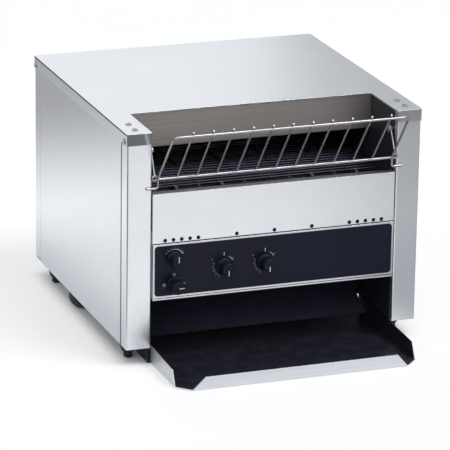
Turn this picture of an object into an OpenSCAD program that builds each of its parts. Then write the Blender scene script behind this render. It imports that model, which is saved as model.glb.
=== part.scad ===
// Conveyor toaster for a counter: bread leans on a wire rack, rides on a wire belt between
// two rows of heating elements, falls on a slide at the back and comes out on a front tray.
// Millimetres. +Z up, the front faces -Y. The origin is on the counter, at the middle of
// the whole toaster's width and of its depth with the tray in.

/* [Casing] */
// Overall width over the top cover
body_w = 470; // [452:1:520]
// Depth of the casing, front of the cover to its back
body_d = 465; // [440:1:520]
// Width of a front post's face
post_w = 38.6; // [37:0.1:43]
// Thickness of the casing's sheet steel
sheet = 1.2; // [1:0.1:1.4]
// Height of the cover's turned-down flange
cover_flange = 18; // [16:1:22]
// Height of the hem round the feed opening in the cover
hem_h = 2.4; // [2:0.2:4]
// Depth of the feed opening from the front of the cover
opening_d = 106; // [100:1:112]
// Depth of a front post's outer return
post_return = 26; // [22:1:32]
// Depth of a front post's inner return
post_lip = 9; // [6:1:11]
// Outer bend radius of the sheet folds
bend_r = 2.4; // [2:0.2:3]
// Depth of the rear panel's side returns
rear_return = 28; // [24:1:34]
// Height of the rear panel's lower edge above the underside
rear_rise = 4.5; // [2:0.5:8]
// Gap between neighbouring casing sheets
seam = 0.6; // [0.4:0.1:1]
// Height of the base pan's rims
pan_rim = 15; // [12:1:20]
// Room that the base pan's front notch leaves behind the toast tray and the slide
notch_play = 14; // [8:1:20]
// Width of a cooling slot in the base pan
slot_w = 22; // [16:1:24]
// Spacing of the cooling slots
slot_pitch = 12; // [10:1:14]
// Number of louvres across the rear panel
louvre_cols = 5; // [3:1:6]
// Number of louvre rows in the rear panel
louvre_rows = 3; // [2:1:4]
// Width of one louvre
louvre_w = 56; // [40:1:60]

/* [Feet and gland] */
// Height of a foot
foot_h = 28; // [26:1:34]
// Radius of a foot's top
foot_r = 14; // [12:0.5:16]
// Radius of a foot's tip
foot_tip_r = 6.8; // [5:0.2:8]
// Distance of the front feet from the front of the cover
foot_front = 48; // [40:1:60]
// Distance of the rear feet from the back of the casing
foot_rear = 54; // [44:1:64]
// Radius of the cable gland's dome
gland_r = 18.5; // [14:0.5:19]
// Distance of the gland from the front of the cover
gland_y = 283; // [250:1:310]
// Radius of the gland's cable hole
gland_bore_r = 6.5; // [4:0.5:8]
// Turn of the cable hole inwards from straight back
gland_turn = 20; // [16:1:28]

/* [Front] */
// Height of the discharge opening, underside to control bezel
discharge_h = 75; // [72:1:84]
// Height of the control bezel
bezel_h = 87; // [84:1:94]
// Height of the plain front between the bezel and the loading sill
sill_rise = 78; // [74:1:86]
// Height of the feed opening, sill to the top of the cover
opening_h = 96; // [92:1:106]
// Depth of the sill's fold
sill_fold = 12; // [8:1:14]
// Gap between the front panel and each post
panel_gap = 1.5; // [1:0.1:2.5]
// Depth of the bezel in front of the panel
bezel_t = 2; // [1.5:0.1:3]
// Radius of the bezel's rolled lower edge
bezel_roll = 1.6; // [1.4:0.1:2]
// Depth of the bezel's lower return
bezel_return = 14; // [8:1:18]
// Width of the bright border round the black overlay
bezel_border = 3; // [2:0.5:5]
// Thickness of the black overlay
overlay_t = 1; // [0.6:0.1:1.5]
// Corner radius of the overlay
overlay_r = 5; // [2:0.5:8]
// Radius of a vent hole
vent_r = 2.2; // [1.5:0.1:2.4]
// Spacing of the vent holes in a group
vent_pitch = 13.1; // [10:0.1:14]
// Distance of the outermost vent from the post's edge
vent_in = 21.5; // [18:0.5:30]
// Spacing of the three middle vents
vent_mid = 60.2; // [50:0.2:66]
// Height of the vents above the bezel
vent_rise = 5; // [4:0.5:7]

/* [Knobs] */
// Radius of a knob at its skirt
knob_r = 13; // [12:0.5:14]
// Radius of a knob at its front
knob_tip_r = 9.8; // [8:0.2:11]
// Length of a knob
knob_l = 22; // [18:1:26]
// Radius of the control spindles
spindle_r = 3; // [2.5:0.1:3.5]
// Distance of the speed and power knobs from the left post
speed_in = 35.2; // [32:0.2:40]
// Drop of the speed knob below the bezel's upper edge
speed_drop = 24.5; // [22:0.5:26]
// Height of the power knob over the bezel's lower edge
power_rise = 23; // [21:0.5:24]
// Distance of the top heat knob from the left post
top_heat_in = 114.2; // [106:0.2:120]
// Distance of the bottom heat knob from the left post
bottom_heat_in = 179.7; // [172:0.2:190]
// Height of the two heat knobs over the bezel's lower edge
heat_rise = 44; // [38:1:50]
// Side of the speed control's case
speed_case = 26; // [22:1:28]
// Width of the power switch's case
switch_case = 32; // [28:1:34]
// Width of a heat control's case
heat_case = 40; // [34:1:44]

/* [Feed rack] */
// Diameter of the rack's frame wire
rack_wire = 3.6; // [3:0.2:5]
// Diameter of the rack's bars
bar_wire = 3; // [2:0.2:3.4]
// Distance of the rack's foot from each post's edge
rack_in = 8.2; // [7:0.2:11]
// How much the rack narrows on each side towards its top rail
rack_narrow = 2; // [1:0.5:5]
// Bend radius of the rack's top corners
rack_bend = 9; // [6:0.5:12]
// Height of the rack's foot rail over the sill
rack_rise = 24; // [20:1:28]
// Height of the rack's top rail over its foot rail
rack_h = 82; // [74:1:92]
// How far the top rail stands out in front of the cover
rack_out = 67; // [60:1:80]
// Number of bars
bars = 11; // [7:2:13]
// Distance of the end bars from the rack's sides
bar_in = 31.5; // [24:0.5:40]
// How far the bars stand over the top rail
bar_stub = 4; // [2:0.5:6]
// Lift that takes the rack off its studs
rack_lift = 30; // [20:1:32]
// Height of the studs that carry the rack over its foot rail
stud_rise = 39; // [34:1:44]
// Distance of the studs from the front of the cover
stud_y = 21; // [18:1:24]
// Radius of a stud
stud_r = 2.5; // [2:0.1:3]
// Radius of the eye at each end of the foot rail
eye_r = 3.4; // [3:0.2:4]

/* [Conveyor] */
// Spacing of the belt's cross rods
belt_pitch = 12; // [11.8:0.1:12.2]
// Least depth behind the idler shaft
idler_room = 84; // [78:1:92]
// Teeth on a belt sprocket
belt_teeth = 11; // [10:1:11]
// Diameter of the belt's cross rods
rod_d = 2.4; // [1.8:0.1:2.8]
// Gap between the belt and each inner plate
belt_side = 12.4; // [8:0.2:16]
// Width of one belt link strip
strip_w = 3; // [2:0.5:4]
// Thickness of a belt link strip
strip_t = 1.2; // [0.8:0.1:1.5]
// Number of link strips across the belt
strips = 6; // [6:2:6]
// Drop of the belt's top below the sill
belt_drop = 1.5; // [1:0.5:4]
// Distance of the drive shaft from the front of the cover
drive_y = 42; // [40:1:46]
// Radius of the two conveyor shafts
shaft_r = 5; // [4:0.5:6]
// Wall of a shaft bush
bush_wall = 3; // [2:0.5:4]
// Running clearance of a shaft in its bush
running = 0.05; // [0.03:0.01:0.09]
// Thickness of a belt sprocket
sprocket_t = 5; // [4:0.5:6]
// Radius of a sprocket's lightening holes
lighten_r = 3; // [2:0.2:3.4]

/* [Chain drive] */
// Nominal pitch of the drive chain
chain_pitch = 8; // [7.6:0.1:8.2]
// Links in the drive chain
chain_links = 44; // [42:2:46]
// Teeth on the drive shaft's chain wheel
wheel_teeth = 24; // [20:1:24]
// Teeth on the motor's chain wheel
pinion_teeth = 10; // [9:1:12]
// Diameter of a chain roller
roller_d = 5; // [4:0.2:5]
// Inner width of the chain
chain_w = 3.6; // [3:0.2:5]
// Thickness of a chain plate
plate_t = 0.8; // [0.6:0.1:1]
// Distance of the chain from the inner plate
chain_in = 11; // [9:0.5:13]
// Slope of the chain below level, from the drive shaft to the motor
chain_lean = 52; // [50:1:56]
// Radius of the motor's output shaft
output_r = 4; // [3:0.5:5]
// Side of the square gearbox
gearbox_w = 56; // [50:1:58]
// Length of the gearbox
gearbox_l = 42; // [36:1:50]
// Radius of the motor
motor_r = 26; // [22:1:27]
// Length of the motor
motor_l = 74; // [60:1:90]

/* [Heating] */
// Diameter of a heating element
element_d = 8; // [6:0.5:9]
// Number of upper elements
upper_elements = 5; // [3:1:6]
// Number of lower elements
lower_elements = 4; // [3:1:5]
// Spacing of the elements
element_pitch = 60; // [50:1:62]
// Clear height over the belt
clear_h = 42; // [38:1:44]
// Gap between the belt rods and the lower elements
lower_gap = 7; // [5:0.5:8]
// Height of the reflector above the upper elements
reflector_rise = 12; // [10:1:14]
// Gap behind the upper reflector
reflector_gap = 30; // [24:1:36]
// Drop of the upper reflector's front lip
reflector_lip = 10; // [8:1:12]
// Drop of the upper reflector's rear lip
reflector_tail = 16; // [12:1:18]
// Gap between the lower reflector and each turn of the belt
reflector_end = 18; // [14:1:24]
// Height of the lower reflector's lips
reflector_dish = 7; // [5:0.5:8]

/* [Slide and trays] */
// Slope of the toast slide
slide_angle = 26.5; // [25:0.5:27]
// Distance of the slide's front edge from the front of the cover
slide_y = 88; // [84:1:92]
// Height of the slide's front edge over the toast tray's floor
slide_rise = 12.3; // [11:0.1:14]
// Radius of the slide's curve at the back
slide_r = 60; // [50:1:70]
// Play of the slide's front tongue between the toast tray's walls
tongue_play = 2.7; // [1.5:0.1:5]
// Gap behind the slide's upright back
slide_gap = 4; // [2:0.5:8]
// Drop of the crumb tray's front below the component box
crumb_drop = 32; // [30:1:35]
// Gap between the crumb tray and the belt's return run
crumb_gap = 3; // [2:0.5:6]
// Height of the crumb tray's rim
crumb_rim = 12; // [8:1:13]
// Travel of the crumb tray on its rails
crumb_travel = 90; // [60:5:95]
// Width of a rail's ledge
ledge = 12; // [8:1:14]
// How far the toast tray stands out in front of the cover
tray_out = 122; // [110:1:130]
// How far the toast tray reaches in behind the front
tray_in = 118; // [108:1:130]
// Play between the toast tray and each post
tray_play = 2.8; // [2:0.1:5]
// Height of the toast tray's underside over the counter
tray_clear = 1.7; // [1.5:0.1:4]
// Side wall height of the toast tray at its front
tray_wall_front = 24; // [20:1:26]
// Side wall height of the toast tray at its back
tray_wall_back = 33; // [26:1:34]
// Length of the side wall's slanting front edge
tray_slant = 13; // [8:1:18]
// Corner cut of the tray's floor
tray_corner = 20; // [14:1:26]
// Height of the tray's front lip
lip_h = 22; // [18:1:26]
// Lean of the tray's front lip
lip_lean = 14; // [8:1:20]
// Taper of the front lip at each end
lip_taper = 19; // [12:1:24]
// Travel of the toast tray on its runners
tray_travel = 80; // [40:5:85]
// Thickness of the tray's runners
runner_t = 0.8; // [0.6:0.1:1]

/* [Services] */
// Side of the cooling fan's frame
fan_w = 80; // [70:1:80]
// Thickness of the cooling fan
fan_t = 25; // [20:1:25]
// Blades on the cooling fan
blades = 7; // [5:1:9]
// Depth of the component box behind the front panel
box_d = 150; // [146:1:160]
// Height of the component box's floor over the bezel's lower edge
box_rise = 3; // [2:0.5:4]
// Drop of the component box's roof below the sill
box_drop = 57; // [54:1:62]
// Depth of the component box's slanting lower corner
box_slant = 40; // [34:1:46]
// Distance of the contactor's middle from the left post
contactor_in = 87.2; // [80:0.2:100]
// Width of the contactor
contactor_w = 44; // [38:1:50]
// Height of the contactor
contactor_h = 58; // [50:1:64]
// Depth of the contactor
contactor_t = 40; // [34:1:46]
// Distance of the speed board from the left post
board_in = 137.2; // [128:0.2:150]
// Width of the speed board
board_w = 76; // [66:1:84]
// Height of the speed board
board_h = 58; // [52:1:64]
// Distance of the terminal block behind the gland
terminal_in = 47; // [40:1:56]
// Length of the terminal block
terminal_l = 64; // [56:1:72]
// Height of the terminal block over the underside
terminal_rise = 40; // [34:1:50]
// Radius of the casing screws
screw_r = 2; // [1.5:0.1:2.5]
// Radius of a casing screw's head
screw_head_r = 4; // [3.2:0.1:4.6]

/* [Hidden] */
$fn = 48;

// The row's origin: the middle of everything from the tray's lip to the back of the casing
lip_reach = tray_out + lip_h * sin(lip_lean);
front_y = (lip_reach - body_d) / 2;

// Levels, from the underside up
bezel_z0 = discharge_h;
bezel_z1 = bezel_z0 + bezel_h;
sill_h = bezel_z1 + sill_rise;
body_h = sill_h + opening_h;

// Faces of the casing, from the casing's own middle and front
wall_x = body_w / 2 - sheet;
post_x = wall_x - post_w;
plate_x = post_x + sheet;
bay_x = plate_x + sheet;
bay_mid = (bay_x + wall_x - sheet) / 2;
roof_z = body_h - sheet;
face_y = sheet;
back_y = body_d - sheet;
plate_y0 = face_y + bend_r;
plate_y1 = back_y - bend_r - sheet;
screw_z = body_h - cover_flange + 5;
top_screw_y = [22, 52];
side_screw_y = [face_y + 10, back_y - 10];
flange_w = bay_mid - plate_x + screw_head_r + 3;

// The belt's loop
belt_r = belt_pitch * belt_teeth / (2 * PI);
belt_run = floor((body_d - drive_y - idler_room) / belt_pitch);
belt_c = belt_run * belt_pitch;
belt_rods = 2 * belt_run + belt_teeth;
belt_top = sill_h - belt_drop;
shaft_z = belt_top - rod_d / 2 - belt_r;
idler_y = drive_y + belt_c;
rod_play = 0.35;
belt_w = 2 * (plate_x - belt_side);
strip_x = belt_w / 2 - strip_w;
strip_gap = 2 * strip_x / (strips - 1);
sprocket_x = [strip_gap, 2 * strip_gap];
spool_r = belt_r - max(rod_d, strip_t) / 2 - 0.4;

// The chain's path round its two wheels
wheel_r = chain_pitch * wheel_teeth / (2 * PI);
pinion_r = chain_pitch * pinion_teeth / (2 * PI);
chain_l = chain_links * chain_pitch;
function wrap(c) = asin((wheel_r - pinion_r) / c);
function chain_need(c) =
    (chain_l - wheel_r * PI * (1 + wrap(c) / 90) - pinion_r * PI * (1 - wrap(c) / 90))
    / (2 * cos(wrap(c)));
function settle(c, n) = n == 0 ? c : settle(chain_need(c), n - 1);
chain_c = settle(chain_l / 3, 30);
chain_tilt = wrap(chain_c);
motor_y = drive_y + chain_c * cos(chain_lean);
motor_z = shaft_z - chain_c * sin(chain_lean);
chain_x = bay_x + chain_in;
chain_side = 0.4;
pin_l = chain_w + 4 * plate_t + 2 * chain_side;
shaft_stub = 8;
tooth_h = 1.2;
tooth_play = 0.2;

// Heating
element_r = element_d / 2;
guard = 6;
upper_z = belt_top + clear_h + element_r + guard;
lower_z = belt_top - rod_d - lower_gap - element_r;
upper_y0 = opening_d + element_pitch / 2;
lower_y0 = drive_y + belt_c / 2 - element_pitch * (lower_elements - 1) / 2;
hood_z = belt_top + clear_h;
hood_fold = 14;
reflector_z = upper_z + element_r + reflector_rise;
collar_l = 9;
collar_r = element_r + 3;
terminal_pin_r = 1.5;
terminal_pin_l = 8;

// Toast tray
tray_z = tray_clear - foot_h;
tray_half = post_x - tray_play;
tray_wall_x = tray_half - sheet;
lip_half = tray_half - tray_corner - 1;

// Component box
box_y = face_y + sheet;
box_back = box_d - sheet;
box_z0 = bezel_z0 + box_rise;
box_z1 = sill_h - box_drop;
roof_room = 17;
parts_z1 = box_z1 - roof_room;

// Slide and crumb tray; the crumb tray ends short of the idler and of the belt's return run
slide_z = tray_z + slide_rise;
tongue_half = tray_wall_x - tongue_play;
notch_d = max(tray_in, slide_y + (2 * sheet - slide_z) / tan(slide_angle)) + notch_play;
crumb_y = slide_y - 3;
crumb_z = box_z0 - crumb_drop;
crumb_side = 1.5;
crumb_half = plate_x - sheet - crumb_side;
idler_gap = 8;
crumb_l = min(
    (idler_y - belt_r - idler_gap - crumb_y) / cos(slide_angle),
    (shaft_z - belt_r - rod_d / 2 - crumb_gap - crumb_rim * cos(slide_angle) - crumb_z) / sin(slide_angle));
grip_half = 60;
grip_out = 4;
grip_r = 2;

// Front stack, from the posts' face outwards
bezel_y = face_y - bezel_t;
overlay_y = bezel_y - overlay_t;
panel_half = post_x - panel_gap;
bezel_half = panel_half - 0.5;
overlay_z0 = bezel_z0 + bezel_border + 2 * bezel_roll;
knob_gap = 0.5;
knob_y = overlay_y - knob_gap;
nut_r = 5.2;
neck_r = nut_r - 0.2;
vent_z = bezel_z1 + vent_rise;
vent_x = post_x - vent_in;
vent_places = concat(
    [for (side = [-1, 1], i = [0 : 4]) side * (vent_x - i * vent_pitch)],
    [for (i = [-1 : 1]) i * vent_mid]);
control_places = [
    [speed_in - post_x, bezel_z1 - speed_drop], [speed_in - post_x, bezel_z0 + power_rise],
    [top_heat_in - post_x, bezel_z0 + heat_rise], [bottom_heat_in - post_x, bezel_z0 + heat_rise]];

// Feed rack
rack_y = face_y - rack_wire / 2 - 0.3;
rack_half = post_x - rack_in;
rack_z = sill_h + rack_rise;
rack_l = norm([rack_out + rack_y, rack_h]);
bar_pitch = 2 * (rack_half - bar_in) / (bars - 1);
arm_r = bar_wire / 2;
hook_r = stud_r + arm_r + 0.5;
hook_x = (plate_x + rack_half) / 2;
stud_z = rack_z + stud_rise;
stud_l = plate_x - hook_x + arm_r + 0.5;
foot_drop = 14;
foot_bend = 4;
foot_hold = 9;
weld = 0.7;

// Fan, on the left bay's inner wall
fan_front = 12;
fan_roof = 6;
fan_y = box_y + fan_front + fan_w / 2;
fan_z = box_z1 - fan_roof - fan_w / 2;
fan_bore_r = fan_w / 2 - 2;
fan_inset = 5;
fan_pin_r = 2.5;
hub_r = 17;
strut_t = 3;

// ---- helpers ----

// Everything is drawn from the casing's own front and underside
module at_casing() translate([0, front_y, foot_h]) children();

// A box from one corner to the opposite one
module block(lo, hi) translate(lo) cube(hi - lo);

// A cylinder along X, along Y, and between two points
module x_rod(r, l) rotate([0, 90, 0]) cylinder(r = r, h = l);
module y_rod(r, l) rotate([-90, 0, 0]) cylinder(r = r, h = l);
module wire(a, b, r) {
    d = b - a;
    translate(a)
        rotate([0, acos(d.z / norm(d)), atan2(d.y, d.x)])
            cylinder(r = r, h = norm(d), $fn = 24);
}
// Blob of weld or bend where wires meet, a little fuller than the wire
module knuckle(p, r) translate(p) sphere(r = r * 1.06, $fn = 24);

// A profile in Y and Z, drawn along X from x0 to x1
module across(x0, x1) translate([x0, 0, 0]) rotate([90, 0, 90]) linear_extrude(x1 - x0) children();

// Both sides of the casing's middle plane
module both_sides() {
    children();
    mirror([1, 0, 0]) children();
}

module rounded(lo, hi, r) {
    translate(lo + [r, 0]) square(hi - lo - [2 * r, 0]);
    translate(lo + [0, r]) square(hi - lo - [0, 2 * r]);
    for (x = [lo.x + r, hi.x - r], y = [lo.y + r, hi.y - r]) translate([x, y]) circle(r = r);
}

// The slope that the slide and the crumb tray follow: +Y up the slope, +Z square to it
module on_slope(y, z) translate([0, y, z]) rotate([slide_angle, 0, 0]) children();

// A row of things along Y
module each_element(count, y0)
    for (i = [0 : count - 1]) translate([0, y0 + i * element_pitch, 0]) children();

// ---- casing ----

module base_pan() color("silver") at_casing() difference() {
    x1 = wall_x - sheet;
    union() {
        block([-x1, plate_y0, 0], [x1, plate_y1 + sheet, sheet]);
        both_sides() block([x1 - sheet, plate_y0, 0], [x1, plate_y1 + sheet, pan_rim]);
        block([-x1, plate_y1, 0], [x1, plate_y1 + sheet, pan_rim]);
    }
    block([-plate_x, -1, -1], [plate_x, notch_d, sheet + 1]);
    for (x = [-bay_mid, bay_mid], y = [foot_front, body_d - foot_rear])
        translate([x, y, -1]) cylinder(r = screw_r, h = sheet + 2);
    translate([-bay_mid, gland_y, -1]) cylinder(r = gland_r - 4, h = sheet + 2);
    // cooling slots under the electrical bay and under the slide
    for (i = [0 : 9])
        translate([-bay_mid - slot_w / 2, foot_front + 30 + i * slot_pitch, -1])
            cube([slot_w, 5, sheet + 2]);
    for (i = [0 : 5])
        translate([-plate_x / 2, plate_x + i * 3 * slot_pitch, -1]) cube([plate_x, 6, sheet + 2]);
}

// Outline of a front post, seen from above
module post_plan() difference() {
    rounded([post_x, face_y], [wall_x, face_y + 60], bend_r);
    rounded([post_x + sheet, face_y + sheet], [wall_x - sheet, face_y + 70], bend_r - sheet);
    translate([post_x - 1, face_y + post_lip]) square([wall_x - post_x - 2 * sheet, 80]);
    translate([post_x + 2 * sheet, face_y + post_return]) square([wall_x - post_x, 80]);
}

module post() difference() {
    linear_extrude(roof_z) post_plan();
    // the inner return stops under the cover's hem
    block([post_x - 1, face_y - 1, body_h - hem_h], [post_x + sheet, face_y + post_lip + 1, body_h]);
    translate([wall_x - 2 * sheet, side_screw_y[0], screw_z]) x_rod(screw_r, 4 * sheet);
}
module post_left() color("gainsboro") at_casing() mirror([1, 0, 0]) post();
module post_right() color("gainsboro") at_casing() post();

module side_panel() block(
    [wall_x - sheet, face_y + post_return + seam, 0],
    [wall_x, back_y - rear_return - seam, roof_z]);
module side_panel_left() color("lightgrey") at_casing() mirror([1, 0, 0]) side_panel();
module side_panel_right() color("lightgrey") at_casing() side_panel();

// Hood of a louvre pressed into the casing, open below
module louvre_hood() rotate([90, 0, 90]) linear_extrude(louvre_w) difference() {
    polygon([[0, 0], [-louvre_in, 0], [-louvre_in, louvre_in], [0, louvre_in + sheet + 2]]);
    x0 = sheet - louvre_in;
    polygon([[0, -1], [x0, -1], [x0, louvre_in - sheet / 2], [0, louvre_in + 1]]);
}
louvre_in = 4;
louvre_open = 3.4;
louvre_gap = 14;
louvre_z = body_h - cover_flange - 34;
louvre_step = louvre_w + 12;

module rear_panel() color("silver") at_casing() {
    span = louvre_cols * louvre_step - 12;
    difference() {
        translate([0, 0, rear_rise]) linear_extrude(roof_z - rear_rise) difference() {
            rounded([-wall_x, back_y - 60], [wall_x, back_y], bend_r);
            rounded([-wall_x + sheet, back_y - 70], [wall_x - sheet, back_y - sheet], bend_r - sheet);
            translate([-wall_x - 1, back_y - 71]) square([2 * wall_x + 2, 71 - rear_return]);
        }
        both_sides() translate([wall_x - 2 * sheet, side_screw_y[1], screw_z]) x_rod(screw_r, 4 * sheet);
        for (i = [0 : louvre_cols - 1], j = [0 : louvre_rows - 1])
            translate([i * louvre_step - span / 2, back_y - 2 * sheet, louvre_z + j * louvre_gap])
                cube([louvre_w, 4 * sheet, louvre_open]);
    }
    for (i = [0 : louvre_cols - 1], j = [0 : louvre_rows - 1])
        translate([i * louvre_step - span / 2, back_y - sheet, louvre_z + j * louvre_gap]) louvre_hood();
}

module top_cover() color("white") at_casing() difference() {
    x1 = body_w / 2;
    union() {
        difference() {
            linear_extrude(body_h) rounded([-x1, 0], [x1, body_d], bend_r);
            translate([0, 0, -1]) linear_extrude(roof_z + 1)
                rounded([-wall_x, sheet], [wall_x, back_y], bend_r - sheet);
            translate([0, 0, -1]) linear_extrude(body_h - cover_flange + 1)
                square([3 * x1, 3 * body_d], center = true);
        }
        block([-plate_x, 0, body_h - hem_h], [plate_x, opening_d + sheet, body_h]);
    }
    block([-post_x, -1, 0], [post_x, opening_d, body_h + 1]);
    // room for the posts' fronts
    both_sides() block([post_x - 1, face_y, body_h - hem_h - 1], [plate_x + 1, plate_y0, roof_z]);
    both_sides() for (y = side_screw_y)
        translate([wall_x - sheet, y, screw_z]) x_rod(screw_r, 4 * sheet);
    both_sides() for (y = top_screw_y)
        translate([bay_mid, y, roof_z - 1]) cylinder(r = screw_r, h = sheet + 2);
}

// Back wall of the feed opening, with a folded lower edge that keeps fingers off
module feed_hood() color("rosybrown") at_casing() {
    y0 = opening_d + sheet;
    across(-plate_x, plate_x) {
        translate([y0, hood_z]) square([sheet, roof_z - hood_z]);
        translate([y0, hood_z]) square([hood_fold, sheet]);
        translate([y0 - sheet, hood_z + sheet]) square([sheet, hood_fold / 2]);
        translate([y0, hood_z + sheet]) circle(r = sheet);
    }
}

// One inner side plate; the left one also lets the fan through, the right one the motor
module inner_plate() difference() {
    union() {
        block([plate_x, plate_y0, sheet], [bay_x, plate_y1, roof_z]);
        block([plate_x, face_y + post_lip, roof_z - sheet], [plate_x + flange_w, plate_y1, roof_z]);
    }
    for (y = [drive_y, idler_y])
        translate([plate_x - 1, y, shaft_z]) x_rod(shaft_r + running + bush_wall, sheet + 2);
    each_element(upper_elements, upper_y0)
        translate([plate_x - 1, 0, upper_z]) x_rod(element_r, sheet + 2);
    each_element(lower_elements, lower_y0)
        translate([plate_x - 1, 0, lower_z]) x_rod(element_r, sheet + 2);
    for (y = top_screw_y)
        translate([bay_mid, y, roof_z - 2 * sheet]) cylinder(r = screw_r, h = 3 * sheet);
    translate([plate_x - 1, stud_y, stud_z]) x_rod(stud_r, sheet + 2);
}
module inner_plate_left() color("dimgrey") at_casing() mirror([1, 0, 0]) difference() {
    inner_plate();
    translate([plate_x - 1, fan_y, fan_z]) x_rod(fan_bore_r, sheet + 2);
}
module inner_plate_right() color("dimgrey") at_casing() difference() {
    inner_plate();
    translate([plate_x - 1, motor_y, motor_z]) x_rod(output_r + 2.5, sheet + 2);
}

// ---- front ----

module front_panel() color("gainsboro") at_casing() difference() {
    x1 = panel_half;
    union() {
        block([-x1, face_y, bezel_z0 + sheet], [x1, face_y + sheet, sill_h]);
        block([-x1, face_y, sill_h - sheet], [x1, face_y + sill_fold, sill_h]);
        block([-x1, face_y + sill_fold - sheet, sill_h - 8], [x1, face_y + sill_fold, sill_h]);
    }
    for (x = vent_places) translate([x, 0, vent_z]) y_rod(vent_r, 8);
    for (p = control_places) translate([p.x, 0, p.y]) y_rod(nut_r, 8);
}

module control_bezel() color("whitesmoke") at_casing() difference() {
    x1 = bezel_half;
    union() {
        block([-x1, bezel_y, bezel_z0], [x1, face_y, bezel_z1]);
        block([-x1, face_y, bezel_z0], [x1, face_y + bezel_return, bezel_z0 + sheet]);
        translate([-x1, bezel_y + bezel_roll, bezel_z0]) x_rod(bezel_roll, 2 * x1);
    }
    block([-x1 + sheet, bezel_y + sheet, bezel_z0 + sheet], [x1 - sheet, face_y + 1, bezel_z1 - sheet]);
    for (p = control_places) translate([p.x, bezel_y - 5, p.y]) y_rod(nut_r, 12);
}

module control_overlay() color("black") at_casing() difference() {
    translate([0, bezel_y, 0]) rotate([90, 0, 0]) linear_extrude(overlay_t)
        rounded([-bezel_half + bezel_border, overlay_z0],
                [bezel_half - bezel_border, bezel_z1 - bezel_border], overlay_r);
    for (p = control_places) translate([p.x, overlay_y - 1, p.y]) y_rod(nut_r, 4);
}

// Closed channel between the inner plates that keeps the electrical parts from the heat
module box_outline(g) polygon([
    [box_y + g, box_z0 + g], [box_d - box_slant + g / 2, box_z0 + g],
    [box_d - g, box_z0 + box_slant * tan(slide_angle) + g / 2],
    [box_d - g, box_z1 - g], [box_y + g, box_z1 - g]]);
module component_box() color("lightsteelblue") at_casing() difference() {
    union() {
        across(-plate_x, plate_x) difference() {
            box_outline(0);
            box_outline(sheet);
        }
        block([-panel_half, box_y, box_z1 - sheet], [panel_half, box_y + sheet, box_z1 + 20]);
    }
    both_sides() block([post_x, 0, box_z0 - 1], [plate_x + 1, face_y + post_lip + seam / 2, box_z1 + 1]);
    for (p = control_places) translate([p.x, 0, p.y]) y_rod(neck_r, box_y + sheet + 1);
    for (x = vent_places) translate([x, box_y - 1, vent_z]) y_rod(vent_r + 2, sheet + 2);
}

// ---- controls ----

// Body of a control: a case behind the box's front wall and a threaded neck through it
module control_body(p, w, h, d) difference() {
    translate([p.x, box_y + sheet, p.y]) {
        translate([-w / 2, 0, -h / 2]) cube([w, d, h]);
        translate([0, -sheet, 0]) y_rod(neck_r, sheet);
        translate([0, -sheet - 1.6, 0]) y_rod(neck_r - 0.4, sheet + 1.6);
    }
    translate([p.x, 0, p.y]) y_rod(spindle_r + running, box_y + sheet + 14);
}
module speed_control() color("darkgreen") at_casing()
    control_body(control_places[0], speed_case, speed_case, speed_case / 2 + 1);
module power_switch() color("tan") at_casing()
    control_body(control_places[1], switch_case, switch_case - 2, switch_case + 6);
module top_heat_control() color("ivory") at_casing()
    control_body(control_places[2], heat_case, heat_case + 4, heat_case * 0.75);
module bottom_heat_control() color("ivory") at_casing()
    control_body(control_places[3], heat_case, heat_case + 4, heat_case * 0.75);

pointer_w = 1.8;
pointer_t = 0.6;
spindle_in = box_y + sheet + 12;
spindle_out = knob_y - knob_l * 0.7;
module spindle(p) translate([p.x, spindle_out, p.y]) y_rod(spindle_r, spindle_in - spindle_out);
module speed_spindle() color("goldenrod") at_casing() spindle(control_places[0]);
module power_spindle() color("goldenrod") at_casing() spindle(control_places[1]);
module top_heat_spindle() color("goldenrod") at_casing() spindle(control_places[2]);
module bottom_heat_spindle() color("goldenrod") at_casing() spindle(control_places[3]);

// Knob with a skirt; the pointer groove points up before the knob is turned
module knob(p, turn) translate([p.x, knob_y, p.y]) rotate([90, turn, 0]) difference() {
    rotate_extrude() polygon([
        [spindle_r, 0], [knob_r, 0], [knob_r, 2.5], [knob_r - 1.2, 4],
        [knob_tip_r + 0.8, 5], [knob_tip_r, knob_l - 1], [knob_tip_r - 1, knob_l],
        [0, knob_l], [0, knob_l * 0.7], [spindle_r, knob_l * 0.7]]);
    translate([-pointer_w / 2, 1, knob_l - pointer_t]) cube([pointer_w, knob_tip_r, pointer_t + 1]);
}
module speed_knob() color("black") at_casing() knob(control_places[0], 0);
module power_knob() color("black") at_casing() knob(control_places[1], 90);
module top_heat_knob() color("black") at_casing() knob(control_places[2], 180);
module bottom_heat_knob() color("black") at_casing() knob(control_places[3], 180);

// ---- heating ----

module upper_reflector() color("lightgrey") at_casing() {
    y0 = opening_d + 2 * sheet;
    y1 = plate_y1 - reflector_gap;
    across(-plate_x, plate_x) {
        translate([y0, reflector_z]) square([y1 - y0, sheet]);
        translate([y0, reflector_z - reflector_lip]) square([sheet, reflector_lip]);
        translate([y1 - sheet, reflector_z - reflector_tail]) square([sheet, reflector_tail]);
    }
}
module lower_reflector() color("lightgrey") at_casing() {
    z = shaft_z - belt_r + rod_d / 2 + 8;
    y0 = drive_y + belt_r + reflector_end;
    y1 = idler_y - belt_r - reflector_end;
    across(-plate_x, plate_x) {
        translate([y0, z]) square([y1 - y0, sheet]);
        for (y = [y0, y1 - sheet]) translate([y, z]) square([sheet, reflector_dish]);
    }
}
module element() {
    x_rod(element_r, 2 * (bay_x + collar_l));
    translate([-terminal_pin_l, 0, 0]) x_rod(terminal_pin_r, 2 * (bay_x + collar_l + terminal_pin_l));
}
module upper_elements_row() color("saddlebrown") at_casing() each_element(upper_elements, upper_y0)
    translate([-bay_x - collar_l, 0, upper_z]) element();
module lower_elements_row() color("saddlebrown") at_casing() each_element(lower_elements, lower_y0)
    translate([-bay_x - collar_l, 0, lower_z]) element();
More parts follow.
